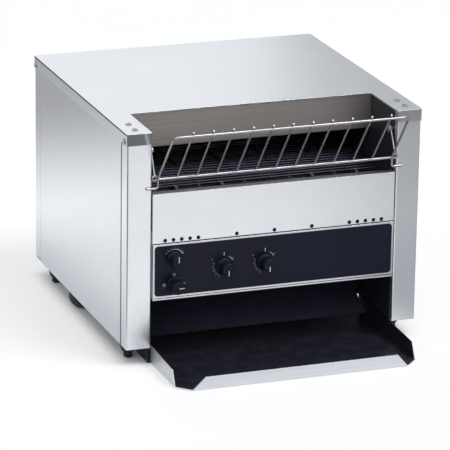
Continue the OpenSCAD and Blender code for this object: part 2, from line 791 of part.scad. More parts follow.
module element_collars() color("white") at_casing() both_sides() {
    each_element(upper_elements, upper_y0) translate([bay_x, 0, upper_z]) collar();
    each_element(lower_elements, lower_y0) translate([bay_x, 0, lower_z]) collar();
}
module collar() difference() {
    x_rod(collar_r, collar_l);
    translate([-1, 0, 0]) x_rod(element_r, collar_l + 2);
}

// ---- conveyor ----

// Point on the belt's centre line at a length s from the top of the drive shaft
function belt_point(s) =
    s < belt_c ? [drive_y + s, shaft_z + belt_r]
    : s < belt_c + PI * belt_r ?
        let (a = 90 - (s - belt_c) / belt_r * 180 / PI)
            [idler_y + belt_r * cos(a), shaft_z + belt_r * sin(a)]
    : s < 2 * belt_c + PI * belt_r ? [idler_y - (s - belt_c - PI * belt_r), shaft_z - belt_r]
    : let (a = -90 - (s - 2 * belt_c - PI * belt_r) / belt_r * 180 / PI)
        [drive_y + belt_r * cos(a), shaft_z + belt_r * sin(a)];

module belt_outline(r) {
    for (y = [drive_y, idler_y]) translate([y, shaft_z]) circle(r = r);
    translate([drive_y, shaft_z - r]) square([belt_c, 2 * r]);
}

module conveyor_belt() color("silver") at_casing() {
    for (i = [0 : belt_rods - 1]) {
        p = belt_point(i * belt_pitch);
        translate([-belt_w / 2, p.x, p.y]) x_rod(rod_d / 2, belt_w);
    }
    for (i = [0 : strips - 1]) {
        x = -strip_x + i * strip_gap - strip_w / 2;
        across(x, x + strip_w) difference() {
            belt_outline(belt_r + strip_t / 2);
            belt_outline(belt_r - strip_t / 2);
        }
    }
}

module bush() difference() {
    union() {
        translate([-3, 0, 0]) x_rod(shaft_r + bush_wall + 4, 3);
        x_rod(shaft_r + running + bush_wall, sheet + 4);
    }
    translate([-4, 0, 0]) x_rod(shaft_r + running, sheet + 10);
}
module shaft_bushes() color("peru") at_casing() both_sides()
    for (y = [drive_y, idler_y]) translate([plate_x, y, shaft_z]) bush();

module drive_shaft() color("slategrey") at_casing()
    translate([-bay_x - shaft_stub, drive_y, shaft_z]) x_rod(shaft_r, bay_x + shaft_stub + chain_x + 7);
module idler_shaft() color("slategrey") at_casing()
    translate([-bay_x - shaft_stub, idler_y, shaft_z]) x_rod(shaft_r, 2 * (bay_x + shaft_stub));

// Gap between two teeth, round at its floor and open outwards
module gullet(r, g) translate([r, 0]) {
    circle(r = g);
    polygon([[0, -g], [2, -g - 1], [2, g + 1], [0, g]]);
}
module belt_sprockets() color("darkgrey") at_casing() both_sides() for (x = sprocket_x)
    translate([x - sprocket_t / 2, drive_y, shaft_z]) {
        rotate([90, 0, 90]) linear_extrude(sprocket_t) difference() {
            circle(r = belt_r + 1);
            circle(r = shaft_r);
            for (i = [0 : belt_teeth - 1])
                rotate(90 + i * 360 / belt_teeth) gullet(belt_r, rod_d / 2 + rod_play);
            for (i = [0 : 4])
                rotate(i * 72) translate([(belt_r + shaft_r) / 2 + 0.8, 0]) circle(r = lighten_r);
        }
        translate([-3, 0, 0]) difference() {
            x_rod(shaft_r + 3, sprocket_t + 6);
            translate([-1, 0, 0]) x_rod(shaft_r, sprocket_t + 8);
        }
    }

module idler_spools() color("darkgrey") at_casing() both_sides() for (x = sprocket_x)
    translate([x - sprocket_t, idler_y, shaft_z]) rotate([90, 0, 90]) rotate_extrude()
        polygon([[shaft_r, 0], [spool_r, 0], [spool_r, 1.5], [spool_r - 3, 3],
                 [spool_r - 3, 2 * sprocket_t - 3], [spool_r, 2 * sprocket_t - 1.5],
                 [spool_r, 2 * sprocket_t], [shaft_r, 2 * sprocket_t]]);

// ---- chain drive ----

// The chain's path from the drive shaft's wheel down to the pinion and back, in a frame
// whose +X runs from the drive shaft to the motor
arc_wheel = wheel_r * PI * (1 + chain_tilt / 90);
arc_pinion = pinion_r * PI * (1 - chain_tilt / 90);
strand = chain_c * cos(chain_tilt);
function chain_point(s) =
    s < strand ?
        wheel_r * [sin(chain_tilt), cos(chain_tilt)] + s * [cos(chain_tilt), -sin(chain_tilt)]
    : s < strand + arc_pinion ?
        let (a = 90 - chain_tilt - (s - strand) / pinion_r * 180 / PI)
            [chain_c, 0] + pinion_r * [cos(a), sin(a)]
    : s < 2 * strand + arc_pinion ?
        [chain_c, 0] + pinion_r * [sin(chain_tilt), -cos(chain_tilt)]
            - (s - strand - arc_pinion) * [cos(chain_tilt), sin(chain_tilt)]
    : let (a = -90 + chain_tilt - (s - 2 * strand - arc_pinion) / wheel_r * 180 / PI)
        wheel_r * [cos(a), sin(a)];

module at_drive() translate([chain_x, drive_y, shaft_z]) rotate([90, 0, 90]) rotate(-chain_lean) children();

// Rollers, pins and alternating inner and outer plates
module drive_chain() color("dimgrey") at_casing() at_drive() for (i = [0 : chain_links - 1]) {
    a = chain_point(i * chain_pitch);
    b = chain_point(((i + 1) % chain_links) * chain_pitch);
    outer = i % 2 == 0;
    z = chain_w / 2 + (outer ? plate_t : 0);
    translate([a.x, a.y, -chain_w / 2]) cylinder(r = roller_d / 2, h = chain_w, $fn = 12);
    translate([a.x, a.y, -pin_l / 2]) cylinder(r = 1.2, h = pin_l, $fn = 8);
    for (m = [0, 1]) mirror([0, 0, m]) translate([a.x, a.y, z])
        rotate(atan2(b.y - a.y, b.x - a.x)) linear_extrude(plate_t) {
            for (x = [0, norm(b - a)]) translate([x, 0]) circle(r = outer ? 2.3 : 2.5, $fn = 10);
            translate([0, -1.6]) square([norm(b - a), 3.2]);
        }
}

module toothed(r, n, bore, first) linear_extrude(chain_w - 2 * chain_side, center = true) difference() {
    circle(r = r + tooth_h);
    circle(r = bore);
    for (i = [0 : n - 1]) rotate(first - i * 360 / n) gullet(r, roller_d / 2 + tooth_play);
}
// A chain roller sits at angle 90 - tilt on the wheel, where the path starts
module chain_wheel() color("slategrey") at_casing() at_drive() {
    toothed(wheel_r, wheel_teeth, shaft_r, 90 - chain_tilt);
    difference() {
        translate([0, 0, -chain_w]) cylinder(r = shaft_r + 4, h = 2 * chain_w);
        translate([0, 0, -chain_w - 1]) cylinder(r = shaft_r, h = 2 * chain_w + 2);
    }
}
first_link = ceil(strand / chain_pitch) * chain_pitch;
module motor_pinion() color("slategrey") at_casing() at_drive() translate([chain_c, 0, 0]) {
    toothed(pinion_r, pinion_teeth, output_r, 90 - chain_tilt - (first_link - strand) / pinion_r * 180 / PI);
    difference() {
        translate([0, 0, -chain_w]) cylinder(r = output_r + 3, h = 2 * chain_w);
        translate([0, 0, -chain_w - 1]) cylinder(r = output_r, h = 2 * chain_w + 2);
    }
}
module motor_shaft() color("lightslategrey") at_casing() {
    x0 = plate_x - gearbox_l + 6;
    translate([x0, motor_y, motor_z]) x_rod(output_r, chain_x + 7 - x0);
}

module gearbox() color("dimgrey") at_casing() difference() {
    translate([plate_x - gearbox_l, motor_y, motor_z]) rotate([90, 0, 90]) union() {
        linear_extrude(gearbox_l - 4)
            rounded([-gearbox_w / 2, -gearbox_w / 2], [gearbox_w / 2, gearbox_w / 2], 5);
        linear_extrude(gearbox_l) difference() {
            circle(r = gearbox_w / 2 - 4);
            circle(r = output_r + 3);
        }
    }
    translate([plate_x - gearbox_l + 5, motor_y, motor_z]) x_rod(output_r + running, gearbox_l);
}
module motor() color("darkslategrey") at_casing()
    translate([plate_x - gearbox_l - motor_l, motor_y, motor_z]) rotate([90, 0, 90]) {
        cylinder(r = motor_r - 2, h = motor_l);
        translate([0, 0, 8]) cylinder(r = motor_r, h = motor_l - 20);
        translate([0, 0, -6]) cylinder(r = 9, h = 6);
    }

// ---- fan and electrical parts ----

module at_fan(x) translate([x - bay_x - fan_t, fan_y, fan_z]) rotate([90, 0, 90]) children();
module fan_frame() color("black") at_casing() at_fan(0) {
    half = fan_w / 2;
    difference() {
        linear_extrude(fan_t) rounded([-half, -half], [half, half], fan_inset);
        translate([0, 0, -1]) cylinder(r = fan_bore_r, h = fan_t + 2);
        for (x = [-1, 1], y = [-1, 1])
            translate([x * (half - fan_inset), y * (half - fan_inset), -1])
                cylinder(r = screw_r, h = fan_t + 2);
    }
    // four struts carry the motor's cup and its pin
    linear_extrude(strut_t) {
        circle(r = hub_r - 1);
        for (a = [45 : 90 : 315]) rotate(a) translate([hub_r - 3, -2]) square([fan_bore_r - hub_r + 5, 4]);
    }
    translate([0, 0, strut_t]) cylinder(r = fan_pin_r, h = fan_t - 3 * strut_t);
}
module fan_rotor() color("dimgrey") at_casing() at_fan(strut_t + 0.4) {
    h = fan_t - 2 * strut_t;
    difference() {
        union() {
            cylinder(r = hub_r, h = h);
            for (i = [0 : blades - 1]) rotate(i * 360 / blades)
                translate([hub_r - 1, 0, h / 2]) rotate([38, 0, 0])
                    translate([0, -1, -h / 2]) cube([fan_bore_r - hub_r - 1, 2, h]);
        }
        translate([0, 0, -1]) cylinder(r = fan_pin_r + running, h = h - 1);
        // the blades end level with the hub
        translate([0, 0, h]) cylinder(r = fan_w, h = h);
        translate([0, 0, -h]) cylinder(r = fan_w, h = h);
    }
}

module contactor() color("whitesmoke") at_casing() {
    x = contactor_in - post_x;
    z = parts_z1 - contactor_h;
    translate([x - contactor_w / 2, box_back - contactor_t, z])
        cube([contactor_w, contactor_t, contactor_h]);
    // broader middle, with the terminals
    translate([x - contactor_w / 2 - 4, box_back - contactor_t * 0.75, z + 6])
        cube([contactor_w + 8, contactor_t * 0.6, contactor_h - 12]);
}
module speed_board() color("darkgreen") at_casing() {
    stand = 6;
    board_t = 1.6;
    translate([board_in - post_x, box_back - stand, parts_z1 - board_h]) {
        for (x = [6, board_w - 6], z = [6, board_h - 6]) translate([x, 0, z]) y_rod(2.5, stand);
        translate([0, -board_t, 0]) cube([board_w, board_t, board_h]);
        // relay, capacitor and terminals
        translate([14, -20, 12]) cube([18, 20 - board_t, 30]);
        translate([58, -16, 28]) y_rod(8, 16 - board_t);
        for (i = [0 : 3]) translate([8 + i * 14, -8, board_h - 12]) cube([8, 8 - board_t, 9]);
    }
}
module terminal_block() color("ivory") at_casing() {
    w = 20;
    h = 18;
    translate([-bay_x - w, gland_y + terminal_in, terminal_rise]) {
        cube([w, terminal_l, h]);
        for (i = [0 : 3]) translate([-2, (i + 0.5) * terminal_l / 4, h / 2]) x_rod(4, 2);
    }
}

module cable_gland() color("black") at_casing() translate([-bay_mid, gland_y, 0]) difference() {
    dome_z = -foot_h + gland_r + 1;
    union() {
        translate([0, 0, -4]) cylinder(r = gland_r - 1, h = 4, $fn = 6);
        intersection() {
            translate([0, 0, dome_z]) sphere(r = gland_r);
            translate([0, 0, -60]) cylinder(r = gland_r + 1, h = 60);
        }
        cylinder(r = gland_r - 4, h = sheet);
        translate([0, 0, sheet]) cylinder(r = gland_r - 2.5, h = 5, $fn = 6);
    }
    translate([0, 0, dome_z]) rotate(-gland_turn) y_rod(gland_bore_r, gland_r + 1);
    translate([0, 0, dome_z]) cylinder(r = gland_bore_r, h = foot_h);
    translate([0, 0, dome_z]) sphere(r = gland_bore_r + 1);
}

module feet() color("black") at_casing() for (x = [-bay_mid, bay_mid], y = [foot_front, body_d - foot_rear])
    translate([x, y, 0]) rotate_extrude() polygon([
        [0, 0], [foot_r, 0], [foot_r, -3], [foot_tip_r + 3, -foot_h + 11],
        [foot_tip_r, -foot_h + 8], [foot_tip_r, -foot_h + 1.5], [foot_tip_r - 1.5, -foot_h], [0, -foot_h]]);

// ---- fasteners ----

module screw(l) {
    cylinder(r = screw_r, h = l);
    translate([0, 0, -2]) intersection() {
        cylinder(r = screw_head_r, h = 2);
        translate([0, 0, screw_head_r * 1.6]) sphere(r = screw_head_r * 1.6 + 2);
    }
}
module cover_screws() color("grey") at_casing() both_sides() {
    for (y = side_screw_y) translate([body_w / 2, y, screw_z]) rotate([0, -90, 0]) screw(3 * sheet);
    for (y = top_screw_y) translate([bay_mid, y, body_h]) rotate([180, 0, 0]) screw(3 * sheet);
}
module casing_rivets() color("grey") at_casing()
    for (x = [-bay_mid, bay_mid], y = [foot_front, body_d - foot_rear])
        translate([x, y, 0]) {
            cylinder(r = screw_r, h = sheet);
            translate([0, 0, sheet]) cylinder(r = screw_r + 2, h = 3);
        }
module rack_studs() color("silver") at_casing() both_sides() translate([bay_x, stud_y, stud_z]) {
    head = 1.5;
    rotate([0, -90, 0]) cylinder(r = stud_r, h = stud_l + sheet, $fn = 32);
    translate([-stud_l - sheet, 0, 0]) rotate([0, -90, 0]) cylinder(r = stud_r + head, h = head, $fn = 32);
    x_rod(stud_r + head, head);
}

// ---- slide ----

// Straight slope, curve and upright back, as one bent sheet
module slide_profile() {
    steps = 32;
    back = plate_y1 - slide_gap;
    across_slope = [sin(slide_angle), -cos(slide_angle)];
    reach = (back - slide_r - slide_y + slide_r * sin(slide_angle)) / cos(slide_angle);
    front = [slide_y, slide_z];
    centre = front + reach * [cos(slide_angle), sin(slide_angle)] - slide_r * across_slope;
    bend = [for (i = [0 : steps]) let (a = (90 - slide_angle) * (i / steps - 1)) [cos(a), sin(a)]];
    top = shaft_z + belt_r;
    polygon(concat(
        [front, front + sheet * across_slope],
        [for (d = bend) centre + (slide_r + sheet) * d],
        [[centre.x + slide_r + sheet, top], [centre.x + slide_r, top]],
        [for (i = [steps : -1 : 0]) centre + slide_r * bend[i]]));
}
module toast_slide() color("silver") at_casing() difference() {
    across(-plate_x, plate_x) slide_profile();
    both_sides() block([tongue_half, 0, -foot_h], [plate_x + 1, notch_d + 2, discharge_h]);
}

module crumb_rails() color("silver") at_casing() both_sides() on_slope(crumb_y, crumb_z) {
    block([plate_x - ledge, 2 * slide_gap, -sheet], [plate_x, crumb_l, 0]);
    block([plate_x - sheet, 2 * slide_gap, 0], [plate_x, crumb_l, crumb_rim]);
}

// Stays clear of the rails' upright legs and of the belt's return run
module crumb_tray() color("gainsboro") at_casing() on_slope(crumb_y, crumb_z) {
    h = crumb_half;
    block([-h, 0, 0], [h, crumb_l, sheet]);
    both_sides() block([h - sheet, 0, 0], [h, crumb_l, crumb_rim]);
    block([-h, crumb_l - sheet, 0], [h, crumb_l, crumb_rim]);
    // front lip with a rolled grip
    block([-h, 0, 0], [h, sheet, crumb_rim]);
    translate([-grip_half, -grip_out, crumb_rim - sheet]) cube([2 * grip_half, grip_out + sheet, sheet]);
    translate([-grip_half, -grip_out, crumb_rim - grip_r]) x_rod(grip_r, 2 * grip_half);
}

// ---- toast tray ----

module tray_runners() color("grey") at_casing() both_sides() {
    y0 = face_y + post_lip + 0.4;
    y1 = notch_d - 1;
    z0 = tray_z - runner_t;
    block([plate_x - runner_t, y0, z0], [plate_x, y1, pan_rim]);
    block([plate_x - ledge - 4, y0, z0], [plate_x, y1, tray_z]);
}

module toast_tray() color("gainsboro") at_casing() {
    front = -tray_out;
    // floor with cut front corners
    translate([0, 0, tray_z]) linear_extrude(sheet) polygon([
        [-tray_half, tray_in], [-tray_half, front + tray_corner], [-tray_half + tray_corner, front],
        [tray_half - tray_corner, front], [tray_half, front + tray_corner], [tray_half, tray_in]]);
    both_sides() across(tray_wall_x, tray_half) polygon([
        [tray_in, tray_z], [tray_in, tray_z + tray_wall_back],
        [front + tray_corner + tray_slant, tray_z + tray_wall_front], [front + tray_corner, tray_z]]);
    // front lip, leaning outwards, with tapered ends
    translate([0, front, tray_z]) rotate([lip_lean, 0, 0]) translate([0, sheet, 0])
        rotate([90, 0, 0]) linear_extrude(sheet) polygon([
            [-lip_half, 0], [lip_half, 0], [lip_half - lip_taper, lip_h], [-lip_half + lip_taper, lip_h]]);
}

// ---- feed rack ----

// The rack's plane: +X across, +Y up the slope from the foot rail to the top rail
module on_rack() translate([0, rack_y, rack_z]) rotate([atan2(rack_h, -rack_out - rack_y), 0, 0]) children();

// Bend of a wire, a little fuller than the wire, from its own +X towards +Y
module bent(bend, turn, r) rotate_extrude(angle = turn) translate([bend, 0]) circle(r = r * 1.06, $fn = 24);

module feed_rack() color("silver") at_casing() {
    r = rack_wire / 2;
    lean = atan(rack_narrow / rack_l);
    arm = (rack_l - rack_bend * (1 - sin(lean))) / cos(lean);
    top = [rack_half - arm * sin(lean), arm * cos(lean)];
    centre = top - rack_bend * [cos(lean), sin(lean)];
    on_rack() {
        wire([-rack_half, 0, 0], [rack_half, 0, 0], r);
        wire([-centre.x, rack_l, 0], [centre.x, rack_l, 0], r);
        // the bars are welded on the side that the bread leans on
        for (i = [0 : bars - 1]) translate([(i - (bars - 1) / 2) * bar_pitch, 0, weld - r - arm_r])
            wire([0, -r, 0], [0, rack_l + r + bar_stub, 0], arm_r);
        both_sides() {
            knuckle([rack_half, 0, 0], r);
            wire([rack_half, 0, 0], [top.x, top.y, 0], r);
            translate([centre.x, centre.y, 0]) rotate(lean) bent(rack_bend, 90 - lean, r);
        }
    }
    both_sides() {
        // foot that bears on the post's face
        elbow = [rack_half + foot_bend, rack_y, rack_z - foot_drop];
        wire([rack_half, rack_y, rack_z], [rack_half, rack_y, elbow.z + foot_bend], r);
        translate(elbow + [0, 0, foot_bend]) rotate([90, 0, 0]) rotate(180) bent(foot_bend, 90, r);
        wire(elbow, [post_x + foot_hold, rack_y, elbow.z], r);
        // eye, and the arm that hooks over the stud
        eye = [hook_x, rack_y, rack_z + 2];
        hook = [hook_x, stud_y - hook_r, stud_z];
        tail = [hook_x, stud_y + hook_r, stud_z];
        translate(eye) rotate([90, 0, 0]) rotate_extrude() translate([eye_r, 0]) circle(r = arm_r, $fn = 24);
        knuckle(eye + [0, 0, eye_r], arm_r);
        wire(eye + [0, 0, eye_r], hook, arm_r);
        knuckle(hook, arm_r);
        translate([hook_x, stud_y, stud_z]) rotate([90, 0, 90])
            rotate_extrude(angle = 180) translate([hook_r, 0]) circle(r = arm_r, $fn = 24);
        wire(tail, tail - [0, 0, 6], arm_r);
        knuckle(tail - [0, 0, 6], arm_r);
    }
}

base_pan();
side_panel_left();
side_panel_right();
post_left();
post_right();
rear_panel();
top_cover();
feed_hood();
inner_plate_left();
inner_plate_right();
front_panel();
control_bezel();
control_overlay();
component_box();
upper_reflector();
lower_reflector();
upper_elements_row();
lower_elements_row();
element_collars();
toast_slide();
crumb_rails();
tray_runners();
shaft_bushes();
conveyor_belt();
drive_shaft();
belt_sprockets();
chain_wheel();
idler_shaft();
idler_spools();
drive_chain();
motor_pinion();
motor_shaft();
gearbox();
motor();
fan_frame();
fan_rotor();
speed_control();
power_switch();
top_heat_control();
bottom_heat_control();
speed_spindle();
power_spindle();
top_heat_spindle();
bottom_heat_spindle();
speed_knob();
power_knob();
top_heat_knob();
bottom_heat_knob();
contactor();
terminal_block();
speed_board();
cable_gland();
feet();
cover_screws();
casing_rivets();
rack_studs();
feed_rack();
toast_tray();
crumb_tray();
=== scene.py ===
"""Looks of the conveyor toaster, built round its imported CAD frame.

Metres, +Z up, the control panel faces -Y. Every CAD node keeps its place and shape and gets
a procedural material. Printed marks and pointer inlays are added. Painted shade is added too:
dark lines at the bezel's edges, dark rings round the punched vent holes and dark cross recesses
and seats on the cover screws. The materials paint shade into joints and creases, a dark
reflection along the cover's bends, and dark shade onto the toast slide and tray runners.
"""

import math

import bmesh
import bpy
from mathutils import Matrix, Vector


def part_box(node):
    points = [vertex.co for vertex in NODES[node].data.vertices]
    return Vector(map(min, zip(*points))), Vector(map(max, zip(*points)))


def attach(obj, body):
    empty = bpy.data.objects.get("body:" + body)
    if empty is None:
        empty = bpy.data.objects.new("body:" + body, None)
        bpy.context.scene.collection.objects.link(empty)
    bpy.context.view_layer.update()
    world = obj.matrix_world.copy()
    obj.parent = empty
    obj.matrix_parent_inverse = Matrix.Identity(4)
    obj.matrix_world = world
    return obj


MM = 0.001
# Sockets of the Mix node when it mixes colours
MIX_A, MIX_B, MIX_RESULT = 6, 7, 2

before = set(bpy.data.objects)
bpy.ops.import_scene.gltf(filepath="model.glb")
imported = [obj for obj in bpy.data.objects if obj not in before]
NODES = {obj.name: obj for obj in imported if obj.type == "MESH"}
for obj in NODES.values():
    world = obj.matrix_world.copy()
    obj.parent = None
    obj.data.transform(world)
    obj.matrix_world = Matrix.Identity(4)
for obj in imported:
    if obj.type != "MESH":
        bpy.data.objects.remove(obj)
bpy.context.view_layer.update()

# ---------------------------------------------------------------- places taken from the frame


def middle(node):
    """Middle of the node's box."""
    low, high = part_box(node)
    return (low + high) / 2


# Front of the control overlay, which the prints lie on
PRINT_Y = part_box("control_overlay")[0].y
KNOBS = {
    "speed": middle("speed_knob"),
    "power": middle("power_knob"),
    "top_heat": middle("top_heat_knob"),
    "bottom_heat": middle("bottom_heat_knob"),
}


# ---------------------------------------------------------------- material helpers

# Openness at which the painted shade of a joint is darkest, and at which it ends
PAINTED_SHADE_CLOSED, PAINTED_SHADE_OPEN = 0.42, 0.86
# A face looks to the front where the Y of its normal is less than this
FRONT_LIMIT = -0.8
# A fold leans fully at the casing's left end, at -LEAN_SPAN, and by this share at the right end
LEAN_AT_RIGHT = 0.30
LEAN_SPAN = 0.2
# How sharply the lean ends on faces that turn away from the front
LEAN_FALL = 4.0


class Nodes:
    """A material's node tree with short calls for the nodes used here."""

    def __init__(self, name):
        self.material = bpy.data.materials.new(name)
        self.material.use_nodes = True
        self.tree = self.material.node_tree
        self.shader = self.tree.nodes["Principled BSDF"]
        self.object = self.new("ShaderNodeTexCoord").outputs["Object"]

    def new(self, kind, **values):
        node = self.tree.nodes.new(kind)
        for key, value in values.items():
            setattr(node, key, value)
        return node

    def link(self, source, target):
        self.tree.links.new(source, target)
        return target

    def put(self, **values):
        """Sets the shader's own sockets, such as roughness=0.4."""
        for key, value in values.items():
            name = key.replace("_", " ").title().replace("Ior", "IOR")
            self.shader.inputs[name].default_value = value

    def stretched(self, scale):
        """Object coordinates scaled by (x, y, z), per metre."""
        mapping = self.new("ShaderNodeMapping")
        mapping.inputs["Scale"].default_value = scale
        self.link(self.object, mapping.inputs["Vector"])
        return mapping.outputs["Vector"]

    def noise(self, vector, scale=1.0, detail=3.0, rough=0.55):
        node = self.new("ShaderNodeTexNoise")
        node.inputs["Scale"].default_value = scale
        node.inputs["Detail"].default_value = detail
        node.inputs["Roughness"].default_value = rough
        self.link(vector, node.inputs["Vector"])
        return node.outputs["Fac"]

    def ramp(self, fac, *stops):
        """Colour or value ramp from (position, colour) pairs; a number is a grey."""
        node = self.new("ShaderNodeValToRGB")
        band = node.color_ramp.elements
        while len(band) < len(stops):
            band.new(0.5)
        for element, (position, colour) in zip(band, stops):
            element.position = position
            if isinstance(colour, (int, float)):
                colour = (colour, colour, colour)
            element.color = (*colour, 1)
        self.link(fac, node.inputs["Fac"])
        return node.outputs["Color"]

    def mix(self, fac, a, b, blend="MIX"):
        node = self.new("ShaderNodeMix", data_type="RGBA", blend_type=blend)
        sockets = (node.inputs["Factor"], node.inputs[MIX_A], node.inputs[MIX_B])
        for socket, value in zip(sockets, (fac, a, b)):
            if isinstance(value, (int, float)):
                socket.default_value = value
            elif isinstance(value, tuple):
                socket.default_value = (*value, 1)
            else:
                self.link(value, socket)
        return node.outputs[MIX_RESULT]

    def math(self, operation, a, b=None):
        node = self.new("ShaderNodeMath", operation=operation)
        for socket, value in zip(node.inputs, (a, b)):
            if value is None:
                continue
            if isinstance(value, (int, float)):
                socket.default_value = value
            else:
                self.link(value, socket)
        return node.outputs[0]

    def painted_crease_shade(self, source, distance=2.5 * MM, shade=0.22):
        """Painted shade: darkens a colour where two parts meet, by their ambient occlusion, as
        shade falls in the joints of sheet metal.
        """
        node = self.new("ShaderNodeAmbientOcclusion", samples=6)
        node.inputs["Distance"].default_value = distance
        light = self.ramp(node.outputs["AO"], (PAINTED_SHADE_CLOSED, shade), (PAINTED_SHADE_OPEN, 1.0))
        return self.mix(1.0, source, light, "MULTIPLY")

    def spread(self, value, low, high, at_low, at_high):
        """Runs from at_low where the value is low to at_high where it is high."""
        node = self.new("ShaderNodeMapRange")
        self.link(value, node.inputs["Value"])
        ends = {"From Min": low, "From Max": high, "To Min": at_low, "To Max": at_high}
        for name, number in ends.items():
            node.inputs[name].default_value = number
        return node.outputs["Result"]

    def bump(self, height, depth, strength=1.0, edge=0.0, lean=None):
        """Bump of that depth in metres; edge rounds sharp corners by that radius, and lean is
        how the front face of a folded sheet leans, as the fold left it."""
        node = self.new("ShaderNodeBump")
        node.inputs["Strength"].default_value = strength
        node.inputs["Distance"].default_value = depth
        self.link(height, node.inputs["Height"])
        if edge:
            normal = self.rounded(edge)
        else:
            normal = self.new("ShaderNodeNewGeometry").outputs["Normal"]
        if lean:
            normal = self.leaning(normal, lean)
        self.link(normal, node.inputs["Normal"])
        self.link(node.outputs["Normal"], self.shader.inputs["Normal"])

    def inside(self, line):
        """1 where the place lies in both of the line's ranges, else 0. X counts both ways."""
        place = self.new("ShaderNodeSeparateXYZ")
        self.link(self.object, place.inputs[0])
        result = 1.0
        for axis, low, high in (line[:3], line[3:]):
            value = place.outputs[axis]
            if axis == "X":
                value = self.math("ABSOLUTE", value)
            above = self.math("GREATER_THAN", value, low)
            below = self.math("LESS_THAN", value, high)
            result = self.math("MULTIPLY", self.math("MULTIPLY", above, below), result)
        return result

    def facing_front(self):
        """1 on faces that face -Y, 0 on the rest."""
        split = self.new("ShaderNodeSeparateXYZ")
        self.link(self.new("ShaderNodeTexCoord").outputs["Normal"], split.inputs[0])
        return self.math("LESS_THAN", split.outputs["Y"], FRONT_LIMIT)

    def leaning(self, normal, lean):
        """Tips the normal of front faces by lean, less towards the casing's right end."""
        split = self.new("ShaderNodeSeparateXYZ")
        self.link(normal, split.inputs[0])
        front = self.math("MAXIMUM", self.math("MULTIPLY", split.outputs["Y"], -1.0), 0.0)
        amount = self.new("ShaderNodeVectorMath", operation="SCALE")
        amount.inputs[0].default_value = lean
        place = self.new("ShaderNodeSeparateXYZ")
        self.link(self.object, place.inputs[0])
        share = self.spread(place.outputs["X"], -LEAN_SPAN, LEAN_SPAN, 1.0, LEAN_AT_RIGHT)
        turned = self.math("POWER", front, LEAN_FALL)
        self.link(self.math("MULTIPLY", turned, share), amount.inputs["Scale"])
        total = self.new("ShaderNodeVectorMath", operation="ADD")
        self.link(normal, total.inputs[0])
        self.link(amount.outputs["Vector"], total.inputs[1])
        unit = self.new("ShaderNodeVectorMath", operation="NORMALIZE")
        self.link(total.outputs["Vector"], unit.inputs[0])
        return unit.outputs["Vector"]

    def rounded(self, radius):
        node = self.new("ShaderNodeBevel", samples=4)
        node.inputs["Radius"].default_value = radius
        return node.outputs["Normal"]

    def colour(self, source):
        self.link(source, self.shader.inputs["Base Color"])

    def roughness(self, source):
        self.link(source, self.shader.inputs["Roughness"])


# Colour of the painted dark lines: painted shade at the joints between sheets and a painted dark
# reflection along the cover's bends
PAINTED_LINE_TONE = (0.055, 0.056, 0.062)
# Depth and strength of the brushed streaks' relief
STREAK_DEPTH, STREAK_STRENGTH = 0.004 * MM, 0.25
# Scale of the streaks along x, y and z for each direction of brushing
GRAIN = {
    "x": (5, 900, 900),
    "y": (900, 5, 900),
    "z": (900, 900, 5),
}


def brushed(name, pale, dark, along="x", rough=0.34, metallic=0.92, edge=0.5 * MM, handled=0.5,
            lean=None, lines=(), fold_rough=None, painted_joint_shade=0.22):
    """Brushed sheet: long fine streaks, slow clouding and faint handling marks, and painted shade
    in its joints.

    lines are dark lines, each as (axis, low, high, axis, low, high) of the place: painted shade at
    joints, and a painted dark reflection at the cover's bend. The joint shade argument sets how
    dark the painted shade in joints gets. fold_rough is the roughness of front-facing folds, where
    the press polished them.
    """
    m = Nodes(name)
    m.put(metallic=metallic, ior=1.6)
    streaks = m.noise(m.stretched(GRAIN[along]), 1.0, 4, 0.6)
    clouds = m.noise(m.stretched((6, 6, 6)), 1.0, 3, 0.5)
    marks = m.noise(m.stretched((38, 38, 38)), 1.0, 5, 0.65)
    tone = m.mix(0.3, streaks, clouds)
    # Painted shade in the joints, from ambient occlusion, darkens the colour
    colour = m.painted_crease_shade(m.ramp(tone, (0.30, dark), (0.68, pale)), shade=painted_joint_shade)
    # Painted dark lines: shade at the side joints and a dark reflection along the cover's bends
    for line in lines:
        colour = m.mix(m.inside(line), colour, PAINTED_LINE_TONE)
    m.colour(colour)
    smudge = m.ramp(marks, (0.45, rough), (0.75, rough + 0.10 * handled))
    worn = m.mix(0.35, smudge, m.ramp(streaks, (0.3, rough - 0.04), (0.7, rough + 0.05)))
    if fold_rough:
        worn = m.mix(m.facing_front(), worn, (fold_rough, fold_rough, fold_rough))
    m.roughness(worn)
    m.bump(streaks, STREAK_DEPTH, STREAK_STRENGTH, edge, lean)
    return m.material


def moulded(name, colour, rough=0.5, grain=0.06, scale=1400, coat=0.0, edge=0.3 * MM, ior=1.5):
    """Moulded plastic or rubber: a fine spark-eroded grain, in millimetres, and worn spots."""
    m = Nodes(name)
    m.put(coat_weight=coat, coat_roughness=0.25, ior=ior)
    fine = m.noise(m.stretched((scale, scale, scale)), 1.0, 2, 0.5)
    wear = m.noise(m.stretched((55, 55, 55)), 1.0, 4, 0.6)
    lighter = tuple(min(1.0, c * 1.35 + 0.004) for c in colour)
    m.colour(m.ramp(wear, (0.35, colour), (0.8, lighter)))
    m.roughness(m.ramp(wear, (0.3, rough), (0.75, min(1.0, rough + 0.12))))
    m.bump(fine, grain * MM, 0.35, edge)
    return m.material


def wire_metal(name, pale, dark, tint, rough=0.22):
    """Drawn bright wire with faint draw lines, heat or weld tint in patches, and painted shade
    where it meets other parts.
    """
    m = Nodes(name)
    m.put(metallic=1.0)
    patches = m.noise(m.stretched((18, 18, 18)), 1.0, 3, 0.5)
    lines = m.noise(m.stretched((700, 700, 700)), 1.0, 2, 0.5)
    base = m.ramp(lines, (0.3, dark), (0.7, pale))
    # Painted shade darkens the wire where it meets or nears other parts
    m.colour(m.painted_crease_shade(m.mix(m.ramp(patches, (0.5, 0.0), (0.8, 0.55)), base, tint), 0.8 * MM))
    m.roughness(m.ramp(patches, (0.3, rough), (0.8, rough + 0.18)))
    m.bump(lines, 0.006 * MM, 0.5)
    return m.material


